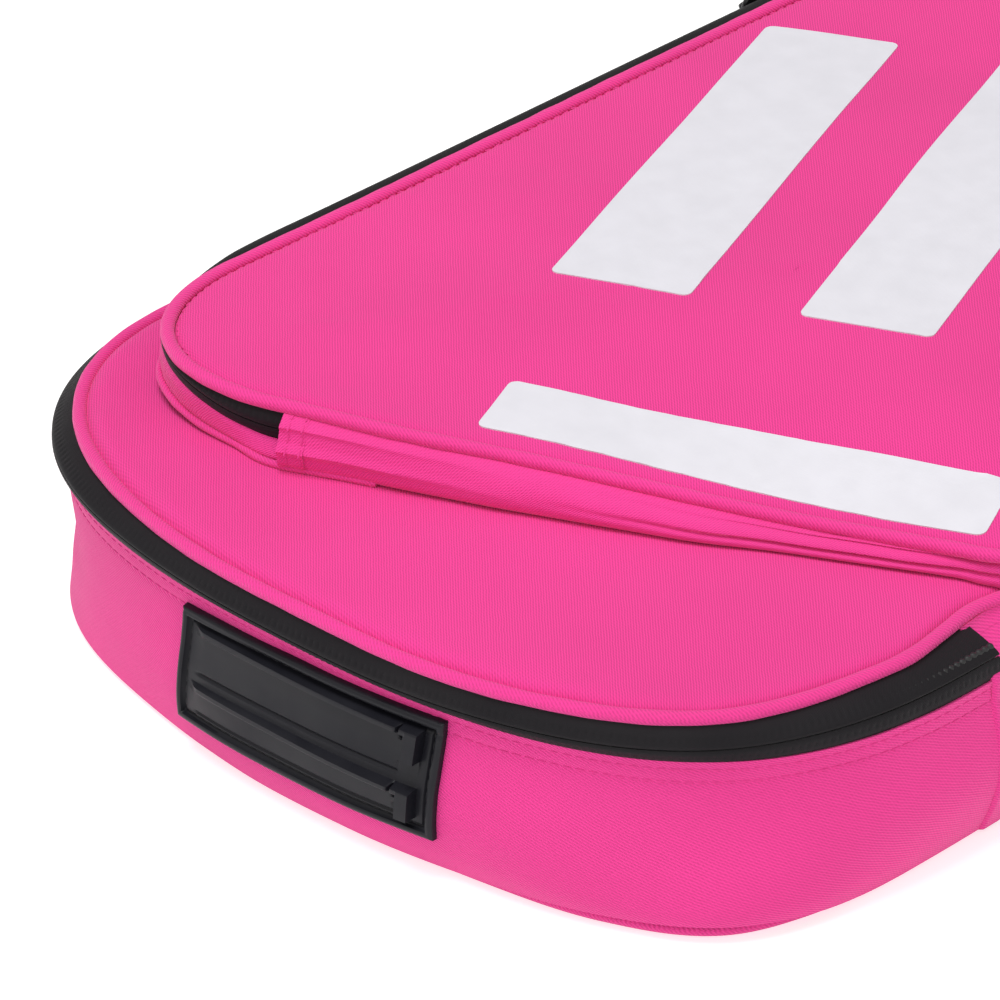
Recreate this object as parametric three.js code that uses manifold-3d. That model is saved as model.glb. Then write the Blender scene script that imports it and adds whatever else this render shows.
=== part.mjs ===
// Soft paddle case lying on its back: a zipped main shell with a slanted front pocket.
// Millimetres, +Z up, +Y towards the grab handle, origin under the middle of the whole case.
import * as THREE from 'three';
import { mergeVertices } from 'three/addons/utils/BufferGeometryUtils.js';
import Module from 'manifold-3d';

const wasm = await Module();
wasm.setup();

// ---- driving dimensions ----
const HALF_WIDTH = 131.5; // half of the width along the main zipper line
const NEAR_DEPTH = 104; // length of the rounded near end
const FAR_DEPTH = 209.5; // length of the long rounded far end
const SIDE_NEAR = -120; // the straight sides run from here ...
const SIDE_FAR = 10; // ... to here
const END_POWER = 2.7; // squareness of both rounded ends
const GAP = 0.3; // clearance between touching pieces
const FABRIC = 1.2; // coated fabric with its backing
const LINING = 0.8;
const FOAM = 4;
const WALL_FOAM = 3;
const PIPING_RADIUS = 1.8;
const WALL_LOW = 4.2; // bottom and top edge of the fabric wall
const WALL_TOP = 43;
const PADDING_TOP = 42; // the foam and lining inside the wall end here
const WALL_FOOT = 1.2; // bottom edge of the wall, outside the zipper line
const WALL_EDGE = -1; // top edge of the wall, just inside the zipper line
const WALL_BULGE = 3.1; // the wall's middle stands this far out from its edges
const BOTTOM_PIPING_OUT = 1; // centre of the bottom piping outside the zipper line
const SLIT_Z = 47; // height of the main zipper slit
const SLIT_GAP = 1.2; // distance between the two tapes
const TAPE = 0.8; // zipper tape thickness
const COIL = 2.4; // zipper coil thickness
const COIL_INSET = 3.6; // coil centre behind the zipper line
const LID_PIPING_Z = 53.5;
const LID_PIPING_INSET = 5;
const LID_TAPE_LEAN = 3.2; // the upper tape slopes inwards by this much up to the lid
const LID_TOP = 57;
const HINGE_NEAR_Y = -122.5; // the fabric hinge wall runs along the right side from here ...
const HINGE_FAR_ARC = 60; // ... to this far past the straight side, along the zipper line
const HINGE_TOP = 51.2;
const HINGE_TOP_EDGE = -3; // top edge of the hinge wall, against the lid's piping
const POCKET_RIGHT = 122; // right edge of the pocket
const POCKET_LEFT = -114; // its left edge, with the zipper
const POCKET_SIDE_FAR = 80; // the pocket's straight sides, and its zipper, run up to here
const POCKET_FAR_DEPTH = 118;
const POCKET_BASE = 57.5; // underside of the pocket's walls
const POCKET_HEM_TOP = 60.4;
const POCKET_SLIT_Z = 64.6;
const POCKET_PIPING_Z = 68.9;
const POCKET_TOP = 71.4;
const POCKET_WALL_BULGE = 1.5;
const ZIP_TAB_LENGTH = 10; // fabric piece that closes the near end of the pocket zipper
const PRINT_RISE = 0.3; // thickness of the printed film
const PATCH_CENTRE_X = 6; // rubber foot patch on the near wall
const PATCH_LENGTH = 85;
const PATCH_LOW = 10;
const PATCH_HIGH = 40;
const HANDLE_WIDTH = 25; // webbing of the grab handle
const HANDLE_REACH = 28;
const HANDLE_HALF_SPAN = 50;
const KEEPER_WIDTH = 38; // elastic loop inside for the paddle's handle
const KEEPER_SPAN = 64;
const KEEPER_RISE = 34;
const KEEPER_Y = 120;
const SLIDER_LENGTH = 12;
const PULLER_LENGTH = 30;
const PULLER_AXIS_OUT = 2.7; // puller axis outside the zipper line
const SLIDERS_MEET_Y = -15; // the two main sliders close against each other here
const SLIDER_SPACING = 16;
const POCKET_SLIDER_Y = 68;
const ARC_STEP = 20; // spacing of the stations round an outline

const PINK = { color: 0xee4b96, roughness: 0.8, metalness: 0 };
const DARK_LINING = { color: 0x2a2a2e, roughness: 0.85, metalness: 0 };
const FOAM_GREY = { color: 0x55565a, roughness: 0.95, metalness: 0 };
const ZIP_BLACK = { color: 0x26262a, roughness: 0.6, metalness: 0 };
const COIL_BLACK = { color: 0x17171a, roughness: 0.4, metalness: 0 };
const RUBBER_BLACK = { color: 0x3a3c42, roughness: 0.5, metalness: 0 };
const PRINT_WHITE = { color: 0xe8e6f0, roughness: 0.55, metalness: 0 };
const SLIDER_BLACK = { color: 0x202024, roughness: 0.35, metalness: 0.7 };

// ---- outlines ----
// Half of a superellipse about x: from (x + halfWidth, y) round to (x - halfWidth, y), or back again.
class RoundedEnd extends THREE.Curve {
  constructor(halfWidth, depth, x, y, startsRight) {
    super();
    this.halfWidth = halfWidth;
    this.depth = depth;
    this.x = x;
    this.y = y;
    this.side = startsRight ? 1 : -1;
    this.arcLengthDivisions = 800;
  }

  getPoint(t, target = new THREE.Vector2()) {
    const angle = Math.PI * t;
    const across = Math.sign(Math.cos(angle)) * Math.abs(Math.cos(angle)) ** (2 / END_POWER);
    const along = Math.sin(angle) ** (2 / END_POWER);
    return target.set(this.x + this.side * this.halfWidth * across, this.y + this.depth * along);
  }
}

// The main zipper line: down the right side, round the near end, up the left, round the far end.
function mainOutline() {
  const path = new THREE.CurvePath();
  const line = (x0, y0, x1, y1) => new THREE.LineCurve(new THREE.Vector2(x0, y0), new THREE.Vector2(x1, y1));
  path.add(line(HALF_WIDTH, SIDE_FAR, HALF_WIDTH, SIDE_NEAR));
  path.add(new RoundedEnd(HALF_WIDTH, -NEAR_DEPTH, 0, SIDE_NEAR, true));
  path.add(line(-HALF_WIDTH, SIDE_NEAR, -HALF_WIDTH, SIDE_FAR));
  path.add(new RoundedEnd(HALF_WIDTH, FAR_DEPTH, 0, SIDE_FAR, false));
  return path;
}

// The pocket's edge: straight sides, a far end like the case's, and a slanted near edge.
function pocketOutline() {
  const path = new THREE.Path();
  path.moveTo(POCKET_RIGHT, POCKET_SIDE_FAR);
  path.lineTo(POCKET_RIGHT, -90);
  path.bezierCurveTo(POCKET_RIGHT, -100, 119, -104.5, 108, -108);
  path.bezierCurveTo(60, -128, 20, -156, -44, -180);
  path.bezierCurveTo(-66, -190, POCKET_LEFT, -184, POCKET_LEFT, -138);
  path.lineTo(POCKET_LEFT, POCKET_SIDE_FAR);
  const halfWidth = (POCKET_RIGHT - POCKET_LEFT) / 2;
  const middle = (POCKET_RIGHT + POCKET_LEFT) / 2;
  path.curves.push(new RoundedEnd(halfWidth, POCKET_FAR_DEPTH, middle, POCKET_SIDE_FAR, false));
  return path;
}

const MAIN = mainOutline();
const POCKET = pocketOutline();

// Distance along an outline at the end of its curve number index.
function lengthTo(path, index) {
  return path.getCurveLengths()[index];
}

// Evenly spaced points round an outline with the outward normal at each.
function stations(path) {
  const total = path.getLength();
  const count = Math.round(total / ARC_STEP);
  const reach = 0.5;
  const list = Array.from({ length: count }, (_, i) => {
    const distance = (total * i) / count;
    const before = path.getPoint(((distance - reach + total) % total) / total);
    const after = path.getPoint(((distance + reach) % total) / total);
    const tangent = after.clone().sub(before).normalize();
    return { point: before.add(after).multiplyScalar(0.5), normal: new THREE.Vector2(-tangent.y, tangent.x) };
  });
  list.step = total / count;
  list.closed = true;
  return list;
}

// The station at any distance round a loop, on the straight line between its neighbours.
function stationAt(loop, distance) {
  const index = Math.floor(distance / loop.step);
  const share = distance / loop.step - index;
  const here = loop[index % loop.length];
  const next = loop[(index + 1) % loop.length];
  return {
    point: here.point.clone().lerp(next.point, share),
    normal: here.normal.clone().lerp(next.normal, share),
  };
}

// An open stretch of a loop, from one distance to another.
function stretch(loop, from, to) {
  const list = [stationAt(loop, from)];
  const shortest = 1;
  for (let i = Math.ceil((from + shortest) / loop.step); i * loop.step < to - shortest; i++) {
    list.push(loop[i % loop.length]);
  }
  list.push(stationAt(loop, to));
  return list;
}

// ---- solids ----
const caseGroup = new THREE.Group();

function addPiece(name, look, geometry) {
  const mesh = new THREE.Mesh(geometry, new THREE.MeshStandardMaterial(look));
  mesh.name = name;
  caseGroup.add(mesh);
  return mesh;
}

// A closed surface from corner points and triangles, turned so that its faces look outwards.
function solid(points, triangles) {
  const corner = (i) => points[i];
  let volume = 0;
  for (const [a, b, c] of triangles) {
    volume += corner(a).dot(new THREE.Vector3().crossVectors(corner(b), corner(c)));
  }
  const geometry = new THREE.BufferGeometry().setFromPoints(points);
  geometry.setIndex(triangles.flatMap(([a, b, c]) => (volume > 0 ? [a, b, c] : [a, c, b])));
  geometry.computeVertexNormals();
  return geometry;
}

// Triangles that fill a flat contour, each wound the way the contour runs.
function fillContour(contour) {
  const clockwise = THREE.ShapeUtils.isClockWise(contour);
  return THREE.ShapeUtils.triangulateShape(contour, []).map(([a, b, c]) => {
    const same = THREE.ShapeUtils.isClockWise([contour[a], contour[b], contour[c]]) === clockwise;
    return same ? [a, b, c] : [a, c, b];
  });
}

// A skin over rings of equal size; open ends are closed with the two flat contours.
function loft(rings, contours) {
  const size = rings[0].length;
  const triangles = [];
  for (let i = 0; i < rings.length - (contours ? 1 : 0); i++) {
    const here = i * size;
    const next = ((i + 1) % rings.length) * size;
    for (let j = 0; j < size; j++) {
      const k = (j + 1) % size;
      triangles.push([here + j, next + j, next + k], [here + j, next + k, here + k]);
    }
  }
  if (contours) {
    const last = (rings.length - 1) * size;
    triangles.push(...fillContour(contours[0]));
    triangles.push(...fillContour(contours[1]).map(([a, b, c]) => [last + c, last + b, last + a]));
  }
  return solid(rings.flat(), triangles);
}

// A section of [outward offset, height] corners carried along stations.
function sweep(line, section) {
  const rings = line.map(({ point, normal }) => section.map(
    ([offset, z]) => new THREE.Vector3(point.x + normal.x * offset, point.y + normal.y * offset, z)));
  const contour = section.map(([offset, z]) => new THREE.Vector2(offset, z));
  return loft(rings, line.closed ? null : [contour, contour]);
}

// A flat panel inside an outline; its upper edge drops by edgeDrop over edgeWidth.
function panel(line, inset, low, high, edgeDrop = 0, edgeWidth = 12) {
  const ring = (offset, z) => line.map(
    ({ point, normal }) => new THREE.Vector3(point.x - normal.x * offset, point.y - normal.y * offset, z));
  const rings = [ring(inset, low), ring(inset, high - edgeDrop)];
  if (edgeDrop > 0) {
    rings.push(ring(inset + edgeWidth, high));
  }
  const flat = (points) => points.map(({ x, y }) => new THREE.Vector2(x, y));
  return loft(rings, [flat(rings[0]), flat(rings.at(-1))]);
}

// Regular section for piping and coils, centred at [offset, z].
function roundSection(offset, z, radius, sides = 6) {
  return Array.from({ length: sides }, (_, i) => {
    const angle = (Math.PI * 2 * (i + 0.5)) / sides;
    return [offset + radius * Math.cos(angle), z + radius * Math.sin(angle)];
  });
}

// Outer face of the padded wall: bulges between its lower and upper edge.
function wallOffset(z) {
  const share = (z - WALL_LOW) / (WALL_TOP - WALL_LOW);
  return THREE.MathUtils.lerp(WALL_FOOT, WALL_EDGE, share) + WALL_BULGE * Math.sin(Math.PI * share);
}

// Section between two heights that follows the wall's bulge, depth..depth + thickness inside it.
function wallSection(low, high, depth, thickness, steps) {
  const heights = Array.from({ length: steps + 1 }, (_, i) => low + ((high - low) * i) / steps);
  const outer = heights.map((z) => [wallOffset(Math.min(z, WALL_TOP)) - depth, z]);
  const inner = outer.map(([offset, z]) => [offset - thickness, z]).reverse();
  return [...outer, ...inner];
}

// ---- where things start and stop along the outlines ----
const mainLength = MAIN.getLength();
const zipStart = SIDE_FAR - HINGE_NEAR_Y;
const zipEnd = mainLength - HINGE_FAR_ARC;
const wholeLoop = stations(MAIN);
const zippedStretch = stretch(wholeLoop, zipStart + GAP, zipEnd - GAP);
const hingeStretch = stretch(wholeLoop, zipEnd, mainLength + zipStart);
const pocketLoop = stations(POCKET);
const pocketZipStart = lengthTo(POCKET, 2);
const pocketTabStart = pocketZipStart - ZIP_TAB_LENGTH;
const pocketZipEnd = lengthTo(POCKET, 4);
const pocketZipStretch = stretch(pocketLoop, pocketZipStart, pocketZipEnd);

// ---- base shell ----
function addBase() {
  addPiece('back_panel', PINK, panel(wholeLoop, 1.2, 0, FABRIC));
  addPiece('back_foam', FOAM_GREY, panel(wholeLoop, 1.6, FABRIC + GAP, FABRIC + GAP + FOAM));
  const liningLow = FABRIC + FOAM + 2 * GAP;
  addPiece('back_lining', DARK_LINING, panel(wholeLoop, 1.6, liningLow, liningLow + LINING));
  addPiece('bottom_piping', PINK, sweep(wholeLoop, roundSection(BOTTOM_PIPING_OUT, 2, PIPING_RADIUS)));
  const wallSteps = 5;
  const wall = wallSection(WALL_LOW, WALL_TOP, 0, FABRIC, wallSteps);
  addPiece('gusset_wall', PINK, sweep(zippedStretch, wall));
  const outerCorners = wallSteps + 1;
  const top = [[HINGE_TOP_EDGE, HINGE_TOP], [HINGE_TOP_EDGE - FABRIC, HINGE_TOP]];
  const tallWall = [...wall.slice(0, outerCorners), ...top, ...wall.slice(outerCorners)];
  addPiece('hinge_gusset', PINK, sweep(hingeStretch, tallWall));
  const padLow = liningLow + LINING + GAP;
  addPiece('gusset_foam', FOAM_GREY, sweep(wholeLoop, wallSection(padLow, PADDING_TOP, FABRIC + GAP, WALL_FOAM, 2)));
  const liningDepth = FABRIC + WALL_FOAM + 2 * GAP;
  addPiece('gusset_lining', DARK_LINING, sweep(wholeLoop, wallSection(padLow, PADDING_TOP, liningDepth, LINING, 2)));
}

// ---- zippers ----
// Both tapes of a zipper with a coil behind each, along the given stations.
function addZipper(prefix, line, slitZ, lowerEdge, upperEdge, lean) {
  const half = SLIT_GAP / 2;
  const flatTape = (zLow, zHigh, outLow, outHigh) => [
    [outLow, zLow], [outHigh, zHigh], [outHigh - TAPE, zHigh], [outLow - TAPE, zLow]];
  addPiece(`${prefix}_zip_tape_lower`, ZIP_BLACK, sweep(line, flatTape(lowerEdge, slitZ - half, 0, 0)));
  addPiece(`${prefix}_zip_tape_upper`, ZIP_BLACK, sweep(line, flatTape(slitZ + half, upperEdge, 0, -lean)));
  const coil = (z) => roundSection(-COIL_INSET, z, COIL / 2 - 0.1);
  addPiece(`${prefix}_zip_coil_lower`, COIL_BLACK, sweep(line, coil(slitZ - half - COIL / 2)));
  addPiece(`${prefix}_zip_coil_upper`, COIL_BLACK, sweep(line, coil(slitZ + half + COIL / 2)));
}

// ---- foot patch ----
function addFootPatch() {
  const nearMiddle = lengthTo(MAIN, 0) + (lengthTo(MAIN, 1) - lengthTo(MAIN, 0)) / 2;
  const middle = nearMiddle - PATCH_CENTRE_X;
  const line = stretch(wholeLoop, middle - PATCH_LENGTH / 2, middle + PATCH_LENGTH / 2);
  const thickness = 1.8;
  const ribRise = 2.2;
  const ribWidth = 4;
  const face = (z, rise) => [wallOffset(z) + GAP + rise, z];
  const rib = (z) => [face(z - ribWidth / 2 - 1, thickness), face(z - ribWidth / 2, thickness + ribRise),
    face(z + ribWidth / 2, thickness + ribRise), face(z + ribWidth / 2 + 1, thickness)];
  const outer = [face(PATCH_LOW, thickness), ...rib(19.5), ...rib(32.5), face(PATCH_HIGH, thickness)];
  const inner = [PATCH_HIGH, 33, 26, 19, PATCH_LOW].map((z) => face(z, 0));
  addPiece('foot_patch', RUBBER_BLACK, sweep(line, [...outer, ...inner]));
}

// ---- lid and pocket ----
function addLid() {
  addPiece('lid_panel', PINK, panel(wholeLoop, 7, LID_TOP - FABRIC, LID_TOP, 0.6));
  const foamTop = LID_TOP - FABRIC - GAP;
  addPiece('lid_foam', FOAM_GREY, panel(wholeLoop, 7.4, foamTop - FOAM, foamTop));
  const liningTop = foamTop - FOAM - GAP;
  addPiece('lid_lining', DARK_LINING, panel(wholeLoop, 7.8, liningTop - LINING, liningTop));
  const piping = roundSection(-LID_PIPING_INSET, LID_PIPING_Z, PIPING_RADIUS);
  addPiece('lid_piping', PINK, sweep(wholeLoop, piping));
}

function addPocket() {
  const wallTop = POCKET_PIPING_Z - PIPING_RADIUS - GAP;
  const middle = (POCKET_BASE + wallTop) / 2;
  const wall = [
    [0, POCKET_BASE], [POCKET_WALL_BULGE, middle], [0, wallTop],
    [-FABRIC, wallTop], [POCKET_WALL_BULGE - FABRIC, middle], [-FABRIC, POCKET_BASE]];
  const wallStart = pocketZipEnd + GAP;
  const wallEnd = POCKET.getLength() + pocketTabStart - GAP;
  addPiece('pocket_gusset', PINK, sweep(stretch(pocketLoop, wallStart, wallEnd), wall));
  const tabStretch = stretch(pocketLoop, pocketTabStart, pocketZipStart - GAP);
  addPiece('pocket_zip_tab', PINK, sweep(tabStretch, wall));
  const hemWidth = 4;
  const hem = [
    [hemWidth, POCKET_BASE], [hemWidth, POCKET_BASE + 0.7], [0, POCKET_BASE + FABRIC], [0, POCKET_HEM_TOP],
    [-FABRIC, POCKET_HEM_TOP], [-FABRIC, POCKET_BASE]];
  addPiece('pocket_hem', PINK, sweep(pocketZipStretch, hem));
  const piping = roundSection(-PIPING_RADIUS, POCKET_PIPING_Z, PIPING_RADIUS);
  addPiece('pocket_piping', PINK, sweep(pocketLoop, piping));
  addPiece('pocket_panel', PINK, panel(pocketLoop, 4, POCKET_TOP - 2.4, POCKET_TOP, 1.2, 20));
  addPiece('pocket_foam', FOAM_GREY, panel(pocketLoop, 6, POCKET_TOP - 4.7, POCKET_TOP - 2.7));
  addPiece('pocket_lining', DARK_LINING, panel(pocketLoop, 6, POCKET_TOP - 5.8, POCKET_TOP - 5));
}

// Printed film in the frame of the pocket's slanted near edge: one long band and three bars.
function addPrint() {
  const slant = THREE.MathUtils.degToRad(25);
  const lean = 0.07;
  const bars = [[-70, 56, -138, -116], [-76, -40, -64, 86], [-12, 22, -64, 130], [52, 84, -64, 130]];
  bars.forEach(([left, right, low, high], index) => {
    const shape = new THREE.Shape();
    const shift = lean * (high - low);
    shape.moveTo(left, low);
    shape.lineTo(right, low);
    shape.lineTo(right + shift, high);
    shape.lineTo(left + shift, high);
    const film = new THREE.ExtrudeGeometry(shape, { depth: PRINT_RISE, bevelEnabled: false });
    const mesh = addPiece(`print_bar_${index + 1}`, PRINT_WHITE, film);
    mesh.rotation.z = slant;
    mesh.position.set(0, 0, POCKET_TOP + GAP);
  });
}

// ---- sliders and pullers on the left side: outwards is -X ----
function toManifold(geometry) {
  const bare = geometry.clone();
  bare.deleteAttribute('normal');
  bare.deleteAttribute('uv');
  const merged = mergeVertices(bare);
  return new wasm.Manifold(new wasm.Mesh({
    numProp: 3,
    vertProperties: Float32Array.from(merged.attributes.position.array),
    triVerts: Uint32Array.from(merged.index.array),
  }));
}

function join(geometries) {
  const mesh = geometries.map(toManifold).reduce((sum, next) => sum.add(next)).getMesh();
  const geometry = new THREE.BufferGeometry();
  geometry.setAttribute('position', new THREE.BufferAttribute(mesh.vertProperties, 3));
  geometry.setIndex(new THREE.BufferAttribute(mesh.triVerts, 1));
  geometry.computeVertexNormals();
  return geometry;
}

// A block between two outward offsets, two Y values and two Z values, seen from the slider's centre.
function block(out0, out1, y0, y1, z0, z1) {
  const geometry = new THREE.BoxGeometry(out1 - out0, y1 - y0, z1 - z0);
  return geometry.translate(-(out0 + out1) / 2, (y0 + y1) / 2, (z0 + z1) / 2);
}

// Outer plate with its bail, a thin post through the slit, and the inner plate behind the coils.
function addSlider(name, lineX, y, z) {
  const half = SLIDER_LENGTH / 2;
  const plate = COIL_INSET + COIL / 2 + 0.2;
  const geometry = join([
    block(0.3, 1.7, -half, half, -4.6, 4.6),
    block(1.6, 4.6, 3.2, 4.4, -1.1, 1.1),
    block(1.6, 4.6, -4.4, -3.2, -1.1, 1.1),
    block(3.6, 4.6, -4.4, 4.4, -1.1, 1.1),
    block(-plate - 0.5, 0.4, -1.5, 1.5, -0.3, 0.3),
    block(-plate - 1, -plate, -half + 0.5, half - 0.5, -3.4, 3.4),
  ]);
  addPiece(name, SLIDER_BLACK, geometry).position.set(-lineX, y, z);
}

// Puller: a crossbar under the bail, two arms past its legs and a flat tab, pointing along +Y or -Y.
function addPuller(name, lineX, y, z, direction) {
  const armEnd = 8;
  const geometry = join([
    block(-0.6, 0.6, -0.6, 0.6, -3.2, 3.2),
    block(-0.6, 0.6, 0, armEnd, 1.6, 3.2),
    block(-0.6, 0.6, 0, armEnd, -3.2, -1.6),
    block(-0.6, 0.6, armEnd - 1.2, PULLER_LENGTH, -4, 4),
  ]);
  const mesh = addPiece(name, SLIDER_BLACK, geometry);
  mesh.position.set(-lineX - PULLER_AXIS_OUT, y, z);
  mesh.rotation.z = direction > 0 ? 0 : Math.PI;
}

function addSliders() {
  const nearY = SLIDERS_MEET_Y - SLIDER_SPACING / 2;
  const farY = SLIDERS_MEET_Y + SLIDER_SPACING / 2;
  addSlider('main_slider_near', HALF_WIDTH, nearY, SLIT_Z);
  addPuller('main_puller_near', HALF_WIDTH, nearY, SLIT_Z, -1);
  addSlider('main_slider_far', HALF_WIDTH, farY, SLIT_Z);
  addPuller('main_puller_far', HALF_WIDTH, farY, SLIT_Z, 1);
  addSlider('pocket_slider', -POCKET_LEFT, POCKET_SLIDER_Y, POCKET_SLIT_Z);
  addPuller('pocket_puller', -POCKET_LEFT, POCKET_SLIDER_Y, POCKET_SLIT_Z, 1);
}

// ---- grab handle at the far end and the elastic keeper inside ----
function addHandle() {
  const farMiddle = (lengthTo(MAIN, 2) + mainLength) / 2;
  const footLength = 18;
  const webbing = 2;
  const onWall = wallOffset((WALL_LOW + WALL_TOP) / 2) + 3 * GAP;
  const foot = (distance) => {
    const { point, normal } = stationAt(wholeLoop, farMiddle + distance);
    const flat = point.clone().addScaledVector(normal, onWall + webbing / 2);
    return new THREE.Vector3(flat.x, flat.y, 0);
  };
  const top = foot(0).y + HANDLE_REACH - webbing;
  const route = new THREE.CatmullRomCurve3([
    foot(-HANDLE_HALF_SPAN - footLength), foot(-HANDLE_HALF_SPAN - footLength / 2), foot(-HANDLE_HALF_SPAN),
    new THREE.Vector3(-32, top - 7, 0), new THREE.Vector3(-14, top - 0.5, 0),
    new THREE.Vector3(14, top - 0.5, 0), new THREE.Vector3(32, top - 7, 0),
    foot(HANDLE_HALF_SPAN), foot(HANDLE_HALF_SPAN + footLength / 2), foot(HANDLE_HALF_SPAN + footLength)],
  false, 'centripetal');
  const middle = (WALL_LOW + WALL_TOP) / 2;
  const band = (inner, outer, halfHeight) => [
    [inner, middle - halfHeight], [outer, middle - halfHeight],
    [outer, middle + halfHeight], [inner, middle + halfHeight]];
  const count = 20;
  const line = Array.from({ length: count + 1 }, (_, i) => {
    const tangent = route.getTangent(i / count);
    return { point: route.getPoint(i / count), normal: new THREE.Vector2(-tangent.y, tangent.x) };
  });
  addPiece('grab_handle', ZIP_BLACK, sweep(line, band(-webbing / 2, webbing / 2, HANDLE_WIDTH / 2)));
  const patchInner = onWall + webbing + GAP;
  const patch = band(patchInner, patchInner + FABRIC, HANDLE_WIDTH / 2 + 3);
  for (const [side, direction] of [['left', -1], ['right', 1]]) {
    const ends = [HANDLE_HALF_SPAN + 3, HANDLE_HALF_SPAN + footLength + 3].map((d) => farMiddle + direction * d);
    const line = stretch(wholeLoop, Math.min(...ends), Math.max(...ends));
    addPiece(`handle_anchor_${side}`, PINK, sweep(line, patch));
  }
}

function addKeeper() {
  const thickness = 1.5;
  const footLength = 10;
  const half = KEEPER_SPAN / 2;
  const floor = FABRIC + FOAM + LINING + 3 * GAP;
  const shape = new THREE.Shape();
  shape.moveTo(half + footLength, 0);
  shape.lineTo(half + footLength, thickness);
  shape.lineTo(half, thickness);
  shape.absellipse(0, thickness, half, KEEPER_RISE - thickness, 0, Math.PI);
  shape.lineTo(-half - footLength, thickness);
  shape.lineTo(-half - footLength, 0);
  shape.lineTo(-half + thickness, 0);
  shape.absellipse(0, 0, half - thickness, KEEPER_RISE - thickness, Math.PI, 0, true);
  const geometry = new THREE.ExtrudeGeometry(shape, { depth: KEEPER_WIDTH, bevelEnabled: false, curveSegments: 12 });
  geometry.rotateX(Math.PI / 2);
  addPiece('keeper_strap', ZIP_BLACK, geometry).position.set(0, KEEPER_Y + KEEPER_WIDTH / 2, floor);
}

addBase();
addZipper('main', zippedStretch, SLIT_Z, WALL_TOP + GAP, LID_PIPING_Z - PIPING_RADIUS - GAP, LID_TAPE_LEAN);
addFootPatch();
addHandle();
addKeeper();
addLid();
addPocket();
addPrint();
const pocketTapeTop = POCKET_PIPING_Z - PIPING_RADIUS - GAP;
addZipper('pocket', pocketZipStretch, POCKET_SLIT_Z, POCKET_HEM_TOP + GAP, pocketTapeTop, 0);
addSliders();

const whole = new THREE.Box3().setFromObject(caseGroup, true);
caseGroup.position.set(-(whole.min.x + whole.max.x) / 2, -(whole.min.y + whole.max.y) / 2, -whole.min.z);

export default caseGroup;
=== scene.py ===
"""Looks of the padded paddle case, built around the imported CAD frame.

Shapes are worked out in millimetres in the case's own frame (the middle of the zipper line's straight
sides is X = 0) and written to Blender in metres, shifted by the offset that the frame's boxes give.
"""
import math
from contextlib import contextmanager

import bmesh
import bpy
import numpy as np
from mathutils import Matrix, Vector


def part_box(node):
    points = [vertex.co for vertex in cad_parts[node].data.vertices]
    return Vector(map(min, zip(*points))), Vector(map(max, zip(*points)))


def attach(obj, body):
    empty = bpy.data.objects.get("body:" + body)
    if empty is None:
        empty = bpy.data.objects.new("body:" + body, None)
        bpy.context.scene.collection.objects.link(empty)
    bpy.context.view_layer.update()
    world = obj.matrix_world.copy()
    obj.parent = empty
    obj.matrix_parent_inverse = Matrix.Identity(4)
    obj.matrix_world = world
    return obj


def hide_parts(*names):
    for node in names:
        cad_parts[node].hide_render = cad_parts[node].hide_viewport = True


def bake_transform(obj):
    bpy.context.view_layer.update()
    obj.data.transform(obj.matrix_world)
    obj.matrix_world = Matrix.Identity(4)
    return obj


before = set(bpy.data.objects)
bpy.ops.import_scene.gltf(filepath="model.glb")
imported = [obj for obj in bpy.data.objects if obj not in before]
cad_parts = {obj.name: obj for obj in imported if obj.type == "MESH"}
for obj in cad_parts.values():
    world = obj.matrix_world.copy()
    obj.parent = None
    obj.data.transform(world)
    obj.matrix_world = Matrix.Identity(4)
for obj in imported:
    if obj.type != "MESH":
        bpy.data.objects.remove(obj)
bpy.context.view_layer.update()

# ---- driving dimensions, millimetres ----
HALF_WIDTH = 131.5
NEAR_DEPTH = 104
FAR_DEPTH = 209.5
SIDE_NEAR = -120
SIDE_FAR = 10
END_POWER = 2.7
PIPING_RADIUS = 1.8
LID_SEAM_Z = 52.7
HINGE_NEAR_Y = -122.5
HINGE_FAR_ARC = 60
POCKET_RIGHT = 122
POCKET_LEFT = -104
POCKET_SLIDER_X = -114
POCKET_SIDE_FAR = 80
POCKET_FAR_DEPTH = 118
POCKET_SEAM_INSET = 1.5
TAB_WIDTH = 6
PATCH_CENTRE_X = 6
PATCH_LENGTH = 85
PATCH_LOW = 8.9
PATCH_HEIGHT = 30
PATCH_TILT = 2.3
STITCH_PITCH = 3.2
TOOTH_PITCH = 2
PRINT_SLANT = math.radians(25)
PRINT_LEAN = 0.07
PRINT_BARS = [(-70, 56, -138, -116), (-76, -40, -64, 86), (-12, 22, -64, 130), (52, 84, -64, 130)]
HANDLE_WIDTH = 25
HANDLE_REACH = 28
HANDLE_HALF_SPAN = 50
HANDLE_FOOT = 18
WALL_MIDDLE = 23.6
KEEPER_WIDTH = 38
KEEPER_SPAN = 64
KEEPER_RISE = 34
KEEPER_Y = 120
KEEPER_FLOOR = 6.9
PULLER_LENGTH = 30
PULLER_AXIS_OUT = 2.7
FABRIC_THICK = 1.1
THIN_FABRIC = 0.9
TAPE_THICK = 0.7
TAPE_LOW = 42.4
LINING_THICK = 0.6
FOAM_THICK = 1.8
WEBBING_THICK = 1.8
ELASTIC_THICK = 1.4
WALL_TOP = 43.3
HINGE_TOP = 50.6
FOLD_LOW = 50.4
FOLD_HIGH = 53.3
LINING_LOW = 6.9
LINING_HIGH = 42.4
LID_LINING_Z = 50.9
LID_FOAM_Z = 52.9
HANDLE_ON_WALL = 4.4
ANCHOR_HALF_HEIGHT = 15.5
PRINT_CORNER = 2.2
PRINT_LIFT = 0.3
PATCH_STITCH_INSET = 2.9

MM = 0.001
tape_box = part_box("main_zip_tape_lower")
ORIGIN = np.array([tape_box[1][0] / MM - HALF_WIDTH, tape_box[0][1] / MM - (SIDE_NEAR - NEAR_DEPTH), 0])

MAIN_SPINE = (-110, 60)
POCKET_SPINE = (-80, 100)

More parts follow.
